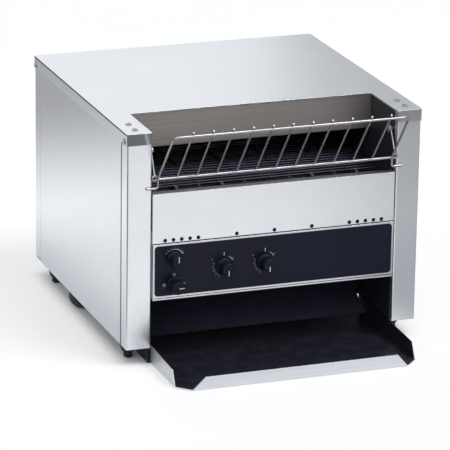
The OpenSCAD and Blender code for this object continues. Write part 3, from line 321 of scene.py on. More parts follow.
def oxidised(name, colour, spots, rough=0.55, metallic=0.4):
    """Heat-darkened or painted metal with mottled oxide."""
    m = Nodes(name)
    m.put(metallic=metallic)
    mottle = m.noise(m.stretched((120, 120, 120)), 1.0, 6, 0.7)
    broad = m.noise(m.stretched((9, 9, 9)), 1.0, 3, 0.5)
    m.colour(m.ramp(m.mix(0.45, mottle, broad), (0.35, colour), (0.7, spots)))
    m.roughness(m.ramp(broad, (0.3, rough - 0.08), (0.7, rough + 0.12)))
    m.bump(mottle, 0.05 * MM, 0.4, 0.3 * MM)
    return m.material


# The toast tray's lip is bright steel on faces this near to the tray's front, and an outer face
# is one whose normal goes outwards by more than the limit
LIP_REACH = 60 * MM
OUTER_LIMIT = 0.6


def tray_sheet():
    """The toast tray's sheet: bright steel outside, dark release coat inside."""
    m = Nodes("tray_steel_and_coat")
    m.put(ior=1.3)
    normal = m.new("ShaderNodeTexCoord").outputs["Normal"]
    split_n = m.new("ShaderNodeSeparateXYZ")
    split_p = m.new("ShaderNodeSeparateXYZ")
    m.link(normal, split_n.inputs[0])
    m.link(m.object, split_p.inputs[0])
    side = m.math("MULTIPLY", split_n.outputs["X"], m.math("SIGN", split_p.outputs["X"]))
    outer_side = m.math("GREATER_THAN", side, OUTER_LIMIT)
    lip = m.math("LESS_THAN", split_p.outputs["Y"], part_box("toast_tray")[0].y + LIP_REACH)
    outer_front = m.math("MULTIPLY", m.math("LESS_THAN", split_n.outputs["Y"], -OUTER_LIMIT), lip)
    under = m.math("LESS_THAN", split_n.outputs["Z"], -OUTER_LIMIT)
    outside = m.math("MAXIMUM", m.math("MAXIMUM", outer_side, outer_front), under)
    streaks = m.noise(m.stretched(GRAIN["x"]), 1.0, 4, 0.6)
    mottle = m.noise(m.stretched((45, 45, 45)), 1.0, 5, 0.6)
    steel = m.ramp(streaks, (0.3, (0.55, 0.57, 0.605)), (0.7, (0.70, 0.72, 0.75)))
    coat = m.ramp(mottle, (0.35, (0.010, 0.011, 0.019)), (0.75, (0.022, 0.021, 0.028)))
    m.colour(m.mix(outside, coat, steel))
    m.link(m.math("MULTIPLY", outside, 0.9), m.shader.inputs["Metallic"])
    coat_rough = m.ramp(mottle, (0.3, 0.34), (0.7, 0.5))
    steel_rough = m.ramp(streaks, (0.3, 0.3), (0.7, 0.4))
    m.roughness(m.mix(outside, coat_rough, steel_rough))
    m.bump(streaks, 0.01 * MM, 0.4, 0.4 * MM)
    return m.material


def printed_film():
    """Dark printed film of the control panel, with a faint emboss."""
    m = Nodes("overlay_film")
    m.put(ior=1.3)
    fine = m.noise(m.stretched((1800, 1800, 1800)), 1.0, 2, 0.5)
    broad = m.noise(m.stretched((14, 14, 14)), 1.0, 3, 0.5)
    m.colour(m.ramp(broad, (0.3, (0.003, 0.004, 0.017)), (0.75, (0.006, 0.008, 0.023))))
    m.roughness(m.ramp(broad, (0.3, 0.36), (0.7, 0.46)))
    m.bump(fine, 0.02 * MM, 0.3)
    return m.material


def board_face():
    """Green board: traces as a fine pattern under varnish."""
    m = Nodes("board_varnish")
    m.put(coat_weight=0.4, coat_roughness=0.2)
    brick = m.new("ShaderNodeTexBrick")
    brick.inputs["Scale"].default_value = 90
    brick.inputs["Mortar Size"].default_value = 0.035
    brick.inputs["Color1"].default_value = (0.012, 0.11, 0.045, 1)
    brick.inputs["Color2"].default_value = (0.02, 0.15, 0.06, 1)
    brick.inputs["Mortar"].default_value = (0.09, 0.24, 0.12, 1)
    turn = m.new("ShaderNodeMapping")
    turn.inputs["Rotation"].default_value = (math.pi / 2, 0, 0)
    m.link(m.object, turn.inputs["Vector"])
    m.link(turn.outputs["Vector"], brick.inputs["Vector"])
    m.colour(brick.outputs["Color"])
    m.put(roughness=0.4)
    m.bump(brick.outputs["Fac"], 0.03 * MM, 0.5)
    return m.material


def paint_print():
    """White screen-print ink, slightly uneven."""
    m = Nodes("print_ink")
    speck = m.noise(m.stretched((2500, 2500, 2500)), 1.0, 2, 0.5)
    m.colour(m.ramp(speck, (0.3, (0.56, 0.57, 0.60)), (0.7, (0.70, 0.71, 0.74))))
    m.roughness(m.ramp(speck, (0.3, 0.45), (0.7, 0.6)))
    m.bump(speck, 0.01 * MM, 0.3)
    return m.material


# ---------------------------------------------------------------- materials

COVER_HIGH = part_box("top_cover")[1]
SIDE_LOW, SIDE_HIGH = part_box("side_panel_left")
# An end of a range that lies beyond the casing
FAR = 1.0
# How far the painted dark reflection of the bend reaches in from the side and down from the top
BEND_IN, BEND_DOWN = 0.4 * MM, 2.4 * MM
JOINT_HALF_W = 2.5 * MM
# Painted dark reflection along the bend of the cover's sides, and painted shade at the joints
# between side panels and posts
BEND = ("X", COVER_HIGH.x - BEND_IN, FAR, "Z", COVER_HIGH.z - BEND_DOWN, FAR)
SIDE_JOINT_SHADE = (
    "X", -SIDE_HIGH.x - MM, FAR,
    "Y", SIDE_LOW.y - JOINT_HALF_W, SIDE_LOW.y + JOINT_HALF_W,
)

COVER = brushed(
    "cover_steel", (0.85, 0.87, 0.90), (0.79, 0.81, 0.845), "x", 0.36,
    lean=(0, 0, 0.20), lines=(BEND,), fold_rough=0.12,
)
POST = brushed(
    "post_steel", (0.85, 0.865, 0.895), (0.78, 0.795, 0.83), "z", 0.24,
    edge=1.0 * MM, lean=(0.36, 0, 0),
)
SHEET_Z = brushed(
    "panel_steel", (0.85, 0.865, 0.895), (0.78, 0.795, 0.83), "z", 0.24,
    lines=(SIDE_JOINT_SHADE,), painted_joint_shade=0.65,
)
SHEET_X = brushed("front_steel", (0.825, 0.84, 0.87), (0.755, 0.77, 0.805), "x", 0.24)
BEZEL = brushed("bezel_steel", (0.68, 0.69, 0.72), (0.61, 0.62, 0.65), "x", 0.2)
ZINC = brushed("zinc_steel", (0.50, 0.51, 0.53), (0.34, 0.35, 0.37), "y", 0.45, handled=1.0)
HOOD = brushed("hood_steel", (0.425, 0.392, 0.375), (0.32, 0.29, 0.275), "x", 0.42)
BLACKENED = brushed(
    "inner_wall_steel", (0.080, 0.080, 0.095), (0.045, 0.045, 0.055), "y", 0.42, metallic=0.7,
)
REFLECTOR = brushed("reflector_aluminium", (0.55, 0.53, 0.49), (0.33, 0.30, 0.26), "y", 0.38)
SHAFT = brushed("ground_shaft", (0.56, 0.57, 0.59), (0.36, 0.37, 0.39), "x", 0.28)
BELT = wire_metal(
    "belt_wire", (0.060, 0.062, 0.090), (0.030, 0.031, 0.048), (0.045, 0.036, 0.035), 0.3,
)
HOT_GEAR = oxidised("heat_dark_gear", (0.05, 0.048, 0.05), (0.10, 0.09, 0.085), 0.4, 0.8)
RACK = wire_metal(
    "rack_wire", (0.52, 0.52, 0.535), (0.38, 0.38, 0.39), (0.30, 0.26, 0.23), 0.24,
)
SCREW = wire_metal(
    "screw_steel", (0.66, 0.67, 0.69), (0.52, 0.53, 0.55), (0.50, 0.50, 0.52), 0.28,
)
BRONZE = oxidised("bush_bronze", (0.42, 0.25, 0.10), (0.60, 0.38, 0.17), 0.35, 0.9)
ELEMENT = oxidised("element_sheath", (0.045, 0.034, 0.028), (0.13, 0.095, 0.07), 0.5, 0.5)
CERAMIC = moulded("ceramic_glaze", (0.66, 0.63, 0.56), 0.3, 0.03, 500, 0.5)
CASTING = oxidised("painted_casting", (0.05, 0.055, 0.065), (0.10, 0.105, 0.12), 0.45, 0.5)
CHAIN = wire_metal("chain_steel", (0.20, 0.19, 0.18), (0.10, 0.095, 0.09), (0.09, 0.06, 0.04), 0.3)
PLASTIC = moulded("black_plastic", (0.014, 0.014, 0.016), 0.45)
KNOB = moulded("knob_plastic", (0.004, 0.005, 0.013), 0.45, 0.04, 1600, ior=1.28)
# The toast slide and the tray runners are dark: painted shade, for the deep shade they lie in
# under the casing
SLIDE_PAINTED_SHADE = moulded("slide_painted_shade", (0.050, 0.053, 0.085), 0.42, 0.05, 900, ior=1.3)
RUNNER_PAINTED_SHADE = moulded("runner_painted_shade", (0.020, 0.021, 0.030), 0.42, 0.05, 900, ior=1.3)
WHITE = moulded("white_plastic", (0.62, 0.62, 0.58), 0.45)
RUBBER = moulded("foot_rubber", (0.012, 0.012, 0.013), 0.75, 0.15, 800)
FILM = printed_film()
BOARD = board_face()
TRAY = tray_sheet()
INK = paint_print()
# Painted shade: the dark of the bezel's shade lines, the vent rings and the screws' recesses and
# seats
SHADE_PAINT = moulded("painted_shade_dark", (0.018, 0.018, 0.021), 0.6, ior=1.3)

DRESS = {
    COVER: ("top_cover",),
    SHEET_Z: ("side_panel_left", "side_panel_right", "post_left", "rear_panel"),
    POST: ("post_right",),
    SHEET_X: ("front_panel",),
    BEZEL: ("control_bezel",),
    ZINC: ("base_pan", "component_box", "crumb_rails", "crumb_tray"),
    RUNNER_PAINTED_SHADE: ("tray_runners",),
    SLIDE_PAINTED_SHADE: ("toast_slide",),
    HOOD: ("feed_hood",),
    BLACKENED: ("inner_plate_left", "inner_plate_right"),
    REFLECTOR: ("upper_reflector", "lower_reflector"),
    HOT_GEAR: ("drive_shaft", "idler_shaft", "belt_sprockets", "idler_spools"),
    SHAFT: (
        "motor_shaft", "motor_pinion", "chain_wheel",
        "speed_spindle", "power_spindle", "top_heat_spindle", "bottom_heat_spindle",
    ),
    BELT: ("conveyor_belt",),
    RACK: ("feed_rack",),
    SCREW: ("cover_screws", "casing_rivets", "rack_studs"),
    BRONZE: ("shaft_bushes",),
    ELEMENT: ("upper_elements_row", "lower_elements_row"),
    CERAMIC: ("element_collars", "top_heat_control", "bottom_heat_control"),
    CASTING: ("gearbox", "motor"),
    CHAIN: ("drive_chain",),
    PLASTIC: ("fan_frame", "fan_rotor", "cable_gland", "speed_control", "power_switch"),
    KNOB: ("speed_knob", "power_knob", "top_heat_knob", "bottom_heat_knob"),
    WHITE: ("contactor", "terminal_block"),
    RUBBER: ("feet",),
    FILM: ("control_overlay",),
    BOARD: ("speed_board",),
    TRAY: ("toast_tray",),
}


def dress_nodes():
    """Gives every CAD node its material."""
    for finish, names in DRESS.items():
        for name in names:
            slots = NODES[name].material_slots
            for slot in slots:
                slot.material = finish
            if not slots:
                NODES[name].data.materials.append(finish)


# ---------------------------------------------------------------- printed marks and inlays

PRINT_H = 0.06 * MM


def add_piece(name, mesh_data, finish, body):
    """A new piece with its material, which rides on the body."""
    piece = bpy.data.objects.new(name, mesh_data)
    bpy.context.scene.collection.objects.link(piece)
    mesh_data.materials.append(finish)
    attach(piece, body)
    return piece


def plate(bm, outline, y, thickness):
    """A flat prism in the panel's plane: outline in (x, z), front face at y - thickness."""
    back = [bm.verts.new((x, y, z)) for x, z in outline]
    front = [bm.verts.new((x, y - thickness, z)) for x, z in outline]
    bm.faces.new(front)
    bm.faces.new(list(reversed(back)))
    count = len(outline)
    for i in range(count):
        j = (i + 1) % count
        bm.faces.new((back[i], back[j], front[j], front[i]))


def clock(centre, radius, hour_angle):
    """Point at an angle clockwise from straight up, as (x, z)."""
    a = math.radians(hour_angle)
    return centre[0] + radius * math.sin(a), centre[1] + radius * math.cos(a)


def arc_band(bm, centre, radius, start, end, width_start, width_end, steps=24, y=PRINT_Y):
    """Curved line whose width runs from width_start to width_end."""
    outer, inner = [], []
    for i in range(steps + 1):
        t = i / steps
        angle = start + (end - start) * t
        half = (width_start + (width_end - width_start) * t) / 2
        outer.append(clock(centre, radius + half, angle))
        inner.append(clock(centre, radius - half, angle))
    for i in range(steps):
        plate(bm, [outer[i], outer[i + 1], inner[i + 1], inner[i]], y, PRINT_H)


def tick(bm, centre, inner, outer, angle, width):
    """Radial mark between two radii."""
    a = math.radians(angle)
    across = Vector((math.cos(a), -math.sin(a))) * width / 2
    low = Vector(clock(centre, inner, angle))
    high = Vector(clock(centre, outer, angle))
    outline = [low - across, high - across, high + across, low + across]
    plate(bm, [tuple(p) for p in outline], PRINT_Y, PRINT_H)


def ring(bm, centre, radius, width, start=0.0, end=360.0, steps=28):
    arc_band(bm, centre, radius, start, end, width, width, steps)


def finish_mesh(bm, name):
    bmesh.ops.remove_doubles(bm, verts=bm.verts, dist=1e-7)
    bmesh.ops.recalc_face_normals(bm, faces=bm.faces)
    data = bpy.data.meshes.new(name)
    bm.to_mesh(data)
    bm.free()
    return data


# Printed scales in millimetres round the knob's axis, and degrees clockwise from straight up.
# An arc is its radius, two angles and the width at each. A tick is its inner and outer radius,
# its angle and its width.
SPEED_MARKS = (
    ("arc", 15.6, -58, 62, 0.15, 1.15),
    *(("tick", 17.6, 18.7, -54 + 18 * i, 0.35) for i in range(7)),
)
HEAT_MARKS = (
    ("tick", 16.4, 21.6, 0, 1.0),
    ("arc", 16.2, -158, -66, 0.30, 0.10),
    *(("tick", 18.0, 19.2, -70 - 21 * i, 0.4) for i in range(5)),
    ("arc", 16.2, 24, 58, 0.3, 1.1),
    ("tick", 18.2, 19.7, 52, 0.5),
)
# Small ring at the low end of a heat scale: reach, angle, radius and line width
LOW_HEAT_RING = (22.5, -58, 0.6, 0.2)
# Reach from the power knob's axis and radius of the two rings by it, and their line width
STANDBY_RING = (15.3, 2.0)
SLOTTED_RING = (15.5, 2.1)
RING_LINE = 0.6


def draw_marks(bm, centre, marks):
    """Draws the marks of a scale, in their order, round its centre."""
    for kind, *sizes in marks:
        if kind == "arc":
            radius, start, end, width_start, width_end = sizes
            arc_band(bm, centre, radius * MM, start, end, width_start * MM, width_end * MM)
        else:
            inner, outer, angle, width = sizes
            tick(bm, centre, inner * MM, outer * MM, angle, width * MM)


def add_print(name, bm):
    return add_piece(f"print_{name}", finish_mesh(bm, name), INK, "casing")


def speed_scale():
    """Tapered arc over the speed knob with short outer ticks."""
    bm = bmesh.new()
    draw_marks(bm, (KNOBS["speed"].x, KNOBS["speed"].z), SPEED_MARKS)
    return add_print("speed_scale", bm)


def power_marks():
    """Stand-by ring above the power knob, a slotted ring at its left and a tick at its right."""
    c = KNOBS["power"]
    bm = bmesh.new()
    reach, radius = STANDBY_RING
    ring(bm, (c.x, c.z + reach * MM), radius * MM, RING_LINE * MM)
    reach, radius = SLOTTED_RING
    left = (c.x - reach * MM, c.z)
    ring(bm, left, radius * MM, RING_LINE * MM, 24, 336)
    draw_marks(bm, left, (("tick", 0.6, 3.0, 0, 0.55),))
    draw_marks(bm, (c.x, c.z), (("tick", 14.6, 17.6, 90, 0.7),))
    return add_print("power_marks", bm)


def heat_scale(key):
    """Mark at 12 o'clock, a thin scale down the left side and a growing bar at two o'clock."""
    c = (KNOBS[key].x, KNOBS[key].z)
    bm = bmesh.new()
    draw_marks(bm, c, HEAT_MARKS)
    reach, angle, radius, width = LOW_HEAT_RING
    ring(bm, clock(c, reach * MM, angle), radius * MM, width * MM, steps=12)
    return add_print(f"{key}_scale", bm)


# Pointer of each knob, in degrees clockwise from straight up, as it stands in the frame
POINTERS = {"speed": 0, "power": 90, "top_heat": 180, "bottom_heat": 180}
POINTER_HALF_W = 0.62 * MM
# Radius and depth behind the knob's face of the inlay's section, in millimetres
POINTER_PROFILE = ((0.9, 0.75), (0.9, 0.05), (8.8, 0.05), (9.7, 1.0), (9.5, 1.4), (8.6, 0.75))


def pointer_inlay(key):
    """White inlay that fills the knob's pointer groove."""
    low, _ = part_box(f"{key}_knob")
    centre = Vector((KNOBS[key].x, low.y, KNOBS[key].z))
    a = math.radians(POINTERS[key])
    along = Vector((math.sin(a), 0, math.cos(a)))
    across = Vector((math.cos(a), 0, -math.sin(a))) * POINTER_HALF_W
    bm = bmesh.new()
    rows = []
    for radius, depth in POINTER_PROFILE:
        place = centre + along * radius * MM + Vector((0, depth * MM, 0))
        rows.append((bm.verts.new(place - across), bm.verts.new(place + across)))
    for i, row in enumerate(rows):
        after = rows[(i + 1) % len(rows)]
        bm.faces.new((row[0], row[1], after[1], after[0]))
    bm.faces.new([row[0] for row in rows])
    bm.faces.new([row[1] for row in reversed(rows)])
    data = finish_mesh(bm, f"pointer_{key}")
    return add_piece(f"pointer_{key}", data, INK, f"{key}_knob")


# Thin dark lines of painted shade at the bezel's edges: thickness, width, and places from the
# bezel's edges
LINE_H, LINE_W = 0.05 * MM, 1.0 * MM
BEZEL_ROLL = 1.6 * MM
LOWER_SHADE_LINE_UP = 2.0 * MM
UPPER_SHADE_LINE_UP = 0.3 * MM
LINE_END_GAP = MM
# Vent holes: the ring of painted shade round each, height over the bezel, five at each end and
# three in the middle
VENT_SHADE_R, VENT_SHADE_W = 2.1 * MM, 1.8 * MM
VENT_UP = 5 * MM
PANEL_PAST_BEZEL = 2.0 * MM
VENT_END = 21.5 * MM
VENT_PITCH = 13.1 * MM
VENTS_PER_END = 5
MIDDLE_VENT_PITCH = 60.2 * MM


def painted_shade_line(name, x0, x1, z, y):
    """Thin dark line of painted shade on the front, from x0 to x1 and upwards from z."""
    bm = bmesh.new()
    plate(bm, [(x0, z), (x0, z + LINE_W), (x1, z + LINE_W), (x1, z)], y, LINE_H)
    return add_piece(name, finish_mesh(bm, name), SHADE_PAINT, "casing")


def bezel_lines():
    """Painted shade lines: a dark line along the bezel's rolled lower edge and one on the panel
    over the bezel's top.
    """
    low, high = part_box("control_bezel")
    lower_shade_z = low.z + BEZEL_ROLL + LOWER_SHADE_LINE_UP
    painted_shade_line("bezel_lower_shade_line", low.x + LINE_END_GAP, high.x - LINE_END_GAP, lower_shade_z, low.y)
    panel_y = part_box("front_panel")[0].y
    painted_shade_line("bezel_upper_shade_line", low.x, high.x, high.z + UPPER_SHADE_LINE_UP, panel_y)


def vent_shade_rings():
    """Dark ring of painted shade round each punched vent hole in the front panel."""
    bezel_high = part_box("control_bezel")[1]
    panel_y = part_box("front_panel")[0].y
    z = bezel_high.z + VENT_UP
    outermost = bezel_high.x + PANEL_PAST_BEZEL - VENT_END
    places = [
        side * (outermost - i * VENT_PITCH) for side in (-1, 1) for i in range(VENTS_PER_END)
    ]
    places += [i * MIDDLE_VENT_PITCH for i in (-1, 0, 1)]
    bm = bmesh.new()
    for x in places:
        arc_band(bm, (x, z), VENT_SHADE_R, 0, 360, VENT_SHADE_W, VENT_SHADE_W, 32, panel_y)
    return add_piece("vent_shade_rings", finish_mesh(bm, "vent_shade_rings"), SHADE_PAINT, "casing")


def islands(node):
    """The node's separate solids, each as (lowest corner, highest corner)."""
    bm = bmesh.new()
    bm.from_mesh(NODES[node].data)
    bmesh.ops.remove_doubles(bm, verts=bm.verts, dist=1e-6)
    left = set(bm.verts)
    found = []
    while left:
        stack = [left.pop()]
        points = []
        while stack:
            vert = stack.pop()
            points.append(vert.co.copy())
            for edge in vert.link_edges:
                other = edge.other_vert(vert)
                if other in left:
                    left.remove(other)
                    stack.append(other)
        found.append((
            Vector([min(p[i] for p in points) for i in range(3)]),
            Vector([max(p[i] for p in points) for i in range(3)]),
        ))
    bm.free()
    return sorted(found, key=lambda pair: tuple(round(c, 4) for c in (pair[0] + pair[1])))


SCREW_HEAD_H = 2 * MM
# Cross recess, a dark prism of painted shade: radius of its arms and of its waist, its depth, how
# far its rim stands proud of the crown, and how much smaller its floor is
RECESS_ARM_R, RECESS_WAIST_R = 1.9 * MM, 0.55 * MM
RECESS_DEPTH, RECESS_PROUD = 0.5 * MM, 0.04 * MM
RECESS_TAPER = 0.7
# Turn of the first screw's recess and from each screw to the next, in radians
RECESS_TURN, RECESS_TURN_STEP = 0.35, 1.1
# Seat, a ring of painted shade round the head, in millimetres: inner radius, outer radius without
# its width, thickness, and its width at the sides and on top
SEAT_IN_R, SEAT_OUT_R, SEAT_H = 3.9, 4.0, 0.06
SEAT_SIDE_W, SEAT_TOP_W = 0.9, 0.5
SEAT_STEPS = 32


def screw_recess(name, top, out, turn):
    """Cross recess in a screw's crown: a dark four-armed prism of painted shade that narrows to
    its floor.
    """
    side = out.orthogonal().normalized()
    up = out.cross(side)
    bm = bmesh.new()
    rim, floor = [], []
    for i in range(12):
        a = turn + math.radians(30 * i - 15)
        r = RECESS_ARM_R if i % 3 != 2 else RECESS_WAIST_R
        arm = side * math.cos(a) + up * math.sin(a)
        rim.append(bm.verts.new(top + arm * r + out * RECESS_PROUD))
        floor.append(bm.verts.new(top + arm * r * RECESS_TAPER - out * RECESS_DEPTH))
    for i in range(12):
        j = (i + 1) % 12
        bm.faces.new((rim[i], rim[j], floor[j], floor[i]))
    bm.faces.new(rim)
    bm.faces.new(list(reversed(floor)))
    return add_piece(name, finish_mesh(bm, name), SHADE_PAINT, "casing")


def screw_seat_shade(name, base, out, width):
    """Thin dark ring of painted shade round a screw's head, on the sheet that it holds."""
    side = out.orthogonal().normalized()
    up = out.cross(side)
    bm = bmesh.new()
    loops = []
    outer = SEAT_OUT_R + width
    for radius, lift in ((SEAT_IN_R, 0.0), (SEAT_IN_R, SEAT_H), (outer, SEAT_H), (outer, 0.0)):
        centre = base + out * lift * MM
        angles = (2 * math.pi * i / SEAT_STEPS for i in range(SEAT_STEPS))
        loops.append([
            bm.verts.new(centre + (side * math.cos(a) + up * math.sin(a)) * radius * MM)
            for a in angles
        ])
    for k, loop in enumerate(loops):
        after = loops[(k + 1) % len(loops)]
        for i in range(SEAT_STEPS):
            j = (i + 1) % SEAT_STEPS
            bm.faces.new((loop[i], loop[j], after[j], after[i]))
    return add_piece(name, finish_mesh(bm, name), SHADE_PAINT, "casing")


def screw_recesses():
    """A cross recess and a seat, both dark painted shade, for each screw that holds the cover."""
    for count, (low, high) in enumerate(islands("cover_screws")):
        centre = (low + high) / 2
        span = high - low
        if span.z > span.x:
            out = Vector((math.copysign(1.0, centre.x), 0, 0))
            top = Vector((high.x if centre.x > 0 else low.x, centre.y, centre.z))
        else:
            out = Vector((0, 0, 1))
            top = Vector((centre.x, centre.y, high.z))
        turn = RECESS_TURN + RECESS_TURN_STEP * count
        screw_recess(f"screw_recess_{count}", top, out, turn)
        width = SEAT_SIDE_W if out.z == 0 else SEAT_TOP_W
        screw_seat_shade(f"screw_seat_shade_{count}", top - out * SCREW_HEAD_H, out, width)


# ---------------------------------------------------------------- stage, light and camera

# Half of the floor's side, in metres
FLOOR_HALF = 30
# The floor's brightness to the camera, and how much of its own shade a painted glow takes out
# for the camera and in reflections
FLOOR_SEEN = 1.12
FLOOR_GLOW = 0.48
POOL_GLOW = 0.3
# Half of the soft edge of the shade under the casing
SHADE_EDGE = 0.012
# The pool's stops are placed this far from the middle, either way
POOL_REACH = 3.0
# The painted pool of light's brightness by place on the floor, in metres from the middle
POOL_RIGHT = ((0.32, 1.0), (0.42, 0.92), (0.50, 0.70), (0.60, 0.50), (0.90, 0.38))
POOL_BACK = ((-2.6, 0.12), (-1.7, 1.12), (-0.3, 1.12), (0.0, 1.0), (0.65, 1.12), (1.15, 0.42))
# Painted darker zones of the floor beside the pool: x stops, y stops and colour
DARK_ZONES = (
    (((-0.42, 1.0), (-0.30, 0.0)), ((-0.22, 1.0), (-0.08, 0.0)), (0.10, 0.105, 0.12)),
    (((0.20, 0.0), (0.30, 1.0)), ((-0.70, 0.0), (-0.56, 1.0)), (0.44, 0.45, 0.47)),
    (
        ((-0.33, 0.0), (-0.28, 1.0), (-0.235, 1.0), (-0.225, 0.0)),
        ((-0.5, 1.0), (0.7, 1.0)),
        (0.86, 0.87, 0.89),
    ),
)


def floor_material():
    """Pale floor, seen as white with the object's shadow, which a painted glow lightens.

    In reflections it shows a painted pool of light, with a painted glow: it fades to the right,
    far behind and at the left.
    """
    m = Nodes("floor_paper")
    m.tree.nodes.remove(m.shader)
    out = m.tree.nodes["Material Output"]
    path = m.new("ShaderNodeLightPath")
    seen = m.new("ShaderNodeBsdfDiffuse")
    seen.inputs["Color"].default_value = (FLOOR_SEEN, FLOOR_SEEN, FLOOR_SEEN, 1)
    place = m.new("ShaderNodeSeparateXYZ")
    m.link(m.object, place.inputs[0])
    across = m.math("ADD", place.outputs["X"], POOL_REACH)
    along = m.math("ADD", place.outputs["Y"], POOL_REACH)

    def by_place(value, stops):
        """Ramp by place on the floor, from (metres from the middle, brightness) stops."""
        share = m.math("DIVIDE", value, 2 * POOL_REACH)
        return m.ramp(share, *((0.5 + at / (2 * POOL_REACH), v) for at, v in stops))

    pool = m.mix(1.0, by_place(across, POOL_RIGHT), by_place(along, POOL_BACK), "MULTIPLY")
    for x_stops, y_stops, colour in DARK_ZONES:
        zone = m.math("MULTIPLY", by_place(across, x_stops), by_place(along, y_stops))
        pool = m.mix(zone, pool, colour)
    reflected = m.new("ShaderNodeBsdfDiffuse")
    m.link(pool, reflected.inputs["Color"])
    glow = m.new("ShaderNodeEmission")
    m.link(pool, glow.inputs["Color"])

    def within(distance, half):
        """1 where the distance is less than half a side of the casing, with a soft edge."""
        return m.spread(distance, half + SHADE_EDGE, half - SHADE_EDGE, 0.0, 1.0)

    low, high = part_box("base_pan")
    centre_y, half_y = (low.y + high.y) / 2, (high.y - low.y) / 2
    off_centre = m.math("ABSOLUTE", m.math("SUBTRACT", place.outputs["Y"], centre_y))
    covered = m.math(
        "MULTIPLY",
        within(m.math("ABSOLUTE", place.outputs["X"]), high.x),
        within(off_centre, half_y),
    )

    def lightened(surface, light, share):
        """The surface with part of its shade taken out by a painted glow, but not
        under the casing."""
        node = m.new("ShaderNodeMixShader")
        m.link(m.math("MULTIPLY", m.math("SUBTRACT", 1.0, covered), share), node.inputs["Fac"])
        m.link(surface.outputs[0], node.inputs[1])
        m.link(light.outputs[0], node.inputs[2])
        return node

    paper = lightened(seen, m.new("ShaderNodeEmission"), FLOOR_GLOW)
    unseen = lightened(reflected, glow, POOL_GLOW)
    choose = m.new("ShaderNodeMixShader")
    m.link(path.outputs["Is Camera Ray"], choose.inputs["Fac"])
    m.link(unseen.outputs[0], choose.inputs[1])
    m.link(paper.outputs[0], choose.inputs[2])
    m.link(choose.outputs[0], out.inputs["Surface"])
    return m.material


def build_stage():
    bm = bmesh.new()
    bmesh.ops.create_grid(bm, x_segments=1, y_segments=1, size=FLOOR_HALF)
    data = bpy.data.meshes.new("floor")
    bm.to_mesh(data)
    bm.free()
    floor = bpy.data.objects.new("floor", data)
    bpy.context.scene.collection.objects.link(floor)
    data.materials.append(floor_material())


# What metal sees of the studio, by the sine of the height over the horizon
DOME = ((-0.05, 0.08), (0.12, 0.11), (0.30, 0.33), (0.60, 0.78), (0.90, 0.90))
DOME_TINT = (1.0, 1.01, 1.03)
# The even light of the studio on matt surfaces
DOME_LIGHT, DOME_LIGHT_TINT = 0.42, (0.93, 0.96, 1.0)


def build_world():
    """White to the camera and to glass, an even soft dome to matt surfaces, and to metal the
    white studio with its darker horizon."""
    world = bpy.data.worlds.new("studio")
    bpy.context.scene.world = world
    world.use_nodes = True
    tree = world.node_tree
    tree.nodes.clear()
    link = tree.links.new

    def background(strength, colour=(1, 1, 1)):
        node = tree.nodes.new("ShaderNodeBackground")
        node.inputs["Color"].default_value = (*colour, 1)
        node.inputs["Strength"].default_value = strength
        return node

    def choose(fac, a, b):
        node = tree.nodes.new("ShaderNodeMixShader")
        link(fac, node.inputs[0])
        link(a.outputs[0], node.inputs[1])
        link(b.outputs[0], node.inputs[2])
        return node

    path = tree.nodes.new("ShaderNodeLightPath")
    split = tree.nodes.new("ShaderNodeSeparateXYZ")
    link(tree.nodes.new("ShaderNodeTexCoord").outputs["Generated"], split.inputs[0])
    raised = tree.nodes.new("ShaderNodeMath")
    raised.operation = "MULTIPLY_ADD"
    link(split.outputs["Z"], raised.inputs[0])
    raised.inputs[1].default_value = 0.5
    raised.inputs[2].default_value = 0.5
    ramp = tree.nodes.new("ShaderNodeValToRGB")
    band = ramp.color_ramp.elements
    while len(band) < len(DOME):
        band.new(0.5)
    for element, (height, grey) in zip(band, DOME):
        element.position = 0.5 + height / 2
        element.color = (*(grey * tint for tint in DOME_TINT), 1)
    link(raised.outputs[0], ramp.inputs[0])
    dome = background(1.0)
    link(ramp.outputs[0], dome.inputs["Color"])

    even = background(DOME_LIGHT, DOME_LIGHT_TINT)
    clear = choose(path.outputs["Is Transmission Ray"], even, background(1.0))
    metal = choose(path.outputs["Is Glossy Ray"], clear, dome)
    shown = choose(path.outputs["Is Camera Ray"], metal, background(1.0))
    out = tree.nodes.new("ShaderNodeOutputWorld")
    link(shown.outputs[0], out.inputs["Surface"])


def sun(name, azimuth, elevation, strength, angle):
    """Soft distant lamp that shines from that azimuth (0 is the front) and elevation."""
    a, e = math.radians(azimuth), math.radians(elevation)
    source = Vector((math.sin(a) * math.cos(e), -math.cos(a) * math.cos(e), math.sin(e)))
    data = bpy.data.lights.new(name, "SUN")
    data.energy = strength
    data.angle = math.radians(angle)
    lamp = bpy.data.objects.new(name, data)
    lamp.rotation_euler = source.to_track_quat("Z", "Y").to_euler()
    bpy.context.scene.collection.objects.link(lamp)


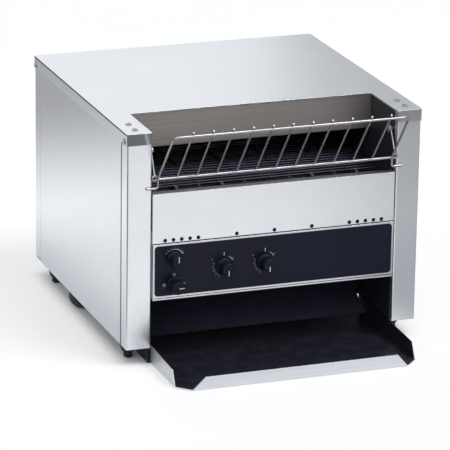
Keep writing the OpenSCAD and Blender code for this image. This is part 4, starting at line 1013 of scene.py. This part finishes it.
def softbox(name, place, aim, width, height, power):
    """Rectangular soft lamp at a place, turned towards a point."""
    data = bpy.data.lights.new(name, "AREA")
    data.shape = "RECTANGLE"
    data.size, data.size_y = width, height
    data.energy = power
    lamp = bpy.data.objects.new(name, data)
    lamp.location = place
    lamp.rotation_euler = (Vector(place) - Vector(aim)).to_track_quat("Z", "Y").to_euler()
    lamp.visible_camera = False
    bpy.context.scene.collection.objects.link(lamp)


# Name, azimuth, elevation, strength and angular size of each sun
SUNS = (("key", 40, 56, 1.35, 30), ("fill", -48, 40, 0.6, 60))
# Place, aim, width, height and power of the softbox behind the casing
BACK_SOFTBOX = ((-0.05, 1.2, 0.93), (-0.1, 0.1, 0.3), 1.24, 0.7, 1.88)

# Solved from the casing's straight edges in the photograph
CAMERA_ANGLES = (-20.35, 18.06, 0.89)
CAMERA_PLACE = Vector((-1.7085, -4.5600, 1.7378))
CAMERA_LENS = 264.22
CAMERA_SENSOR = 36


def build_camera():
    """Camera at the photograph's angle: azimuth, elevation and roll in degrees."""
    azimuth, elevation, roll = (math.radians(v) for v in CAMERA_ANGLES)
    back = Vector((
        math.sin(azimuth) * math.cos(elevation),
        -math.cos(azimuth) * math.cos(elevation),
        math.sin(elevation),
    ))
    right = (-back).cross(Vector((0, 0, 1))).normalized()
    up = right.cross(-back).normalized()
    right, up = (
        right * math.cos(roll) + up * math.sin(roll),
        -right * math.sin(roll) + up * math.cos(roll),
    )
    data = bpy.data.cameras.new("camera")
    data.sensor_width = CAMERA_SENSOR
    data.lens = CAMERA_LENS
    data.clip_end = 100
    camera = bpy.data.objects.new("camera", data)
    turn = Matrix((right, up, back)).transposed().to_4x4()
    camera.matrix_world = Matrix.Translation(CAMERA_PLACE) @ turn
    bpy.context.scene.collection.objects.link(camera)
    bpy.context.scene.camera = camera


# ---------------------------------------------------------------- build

bpy.context.scene.view_settings.view_transform = "Standard"
dress_nodes()
speed_scale()
power_marks()
heat_scale("top_heat")
heat_scale("bottom_heat")
for knob_key in POINTERS:
    pointer_inlay(knob_key)
bezel_lines()
vent_shade_rings()
screw_recesses()
build_stage()
build_world()
for lamp_values in SUNS:
    sun(*lamp_values)
softbox("back_softbox", *BACK_SOFTBOX)
build_camera()
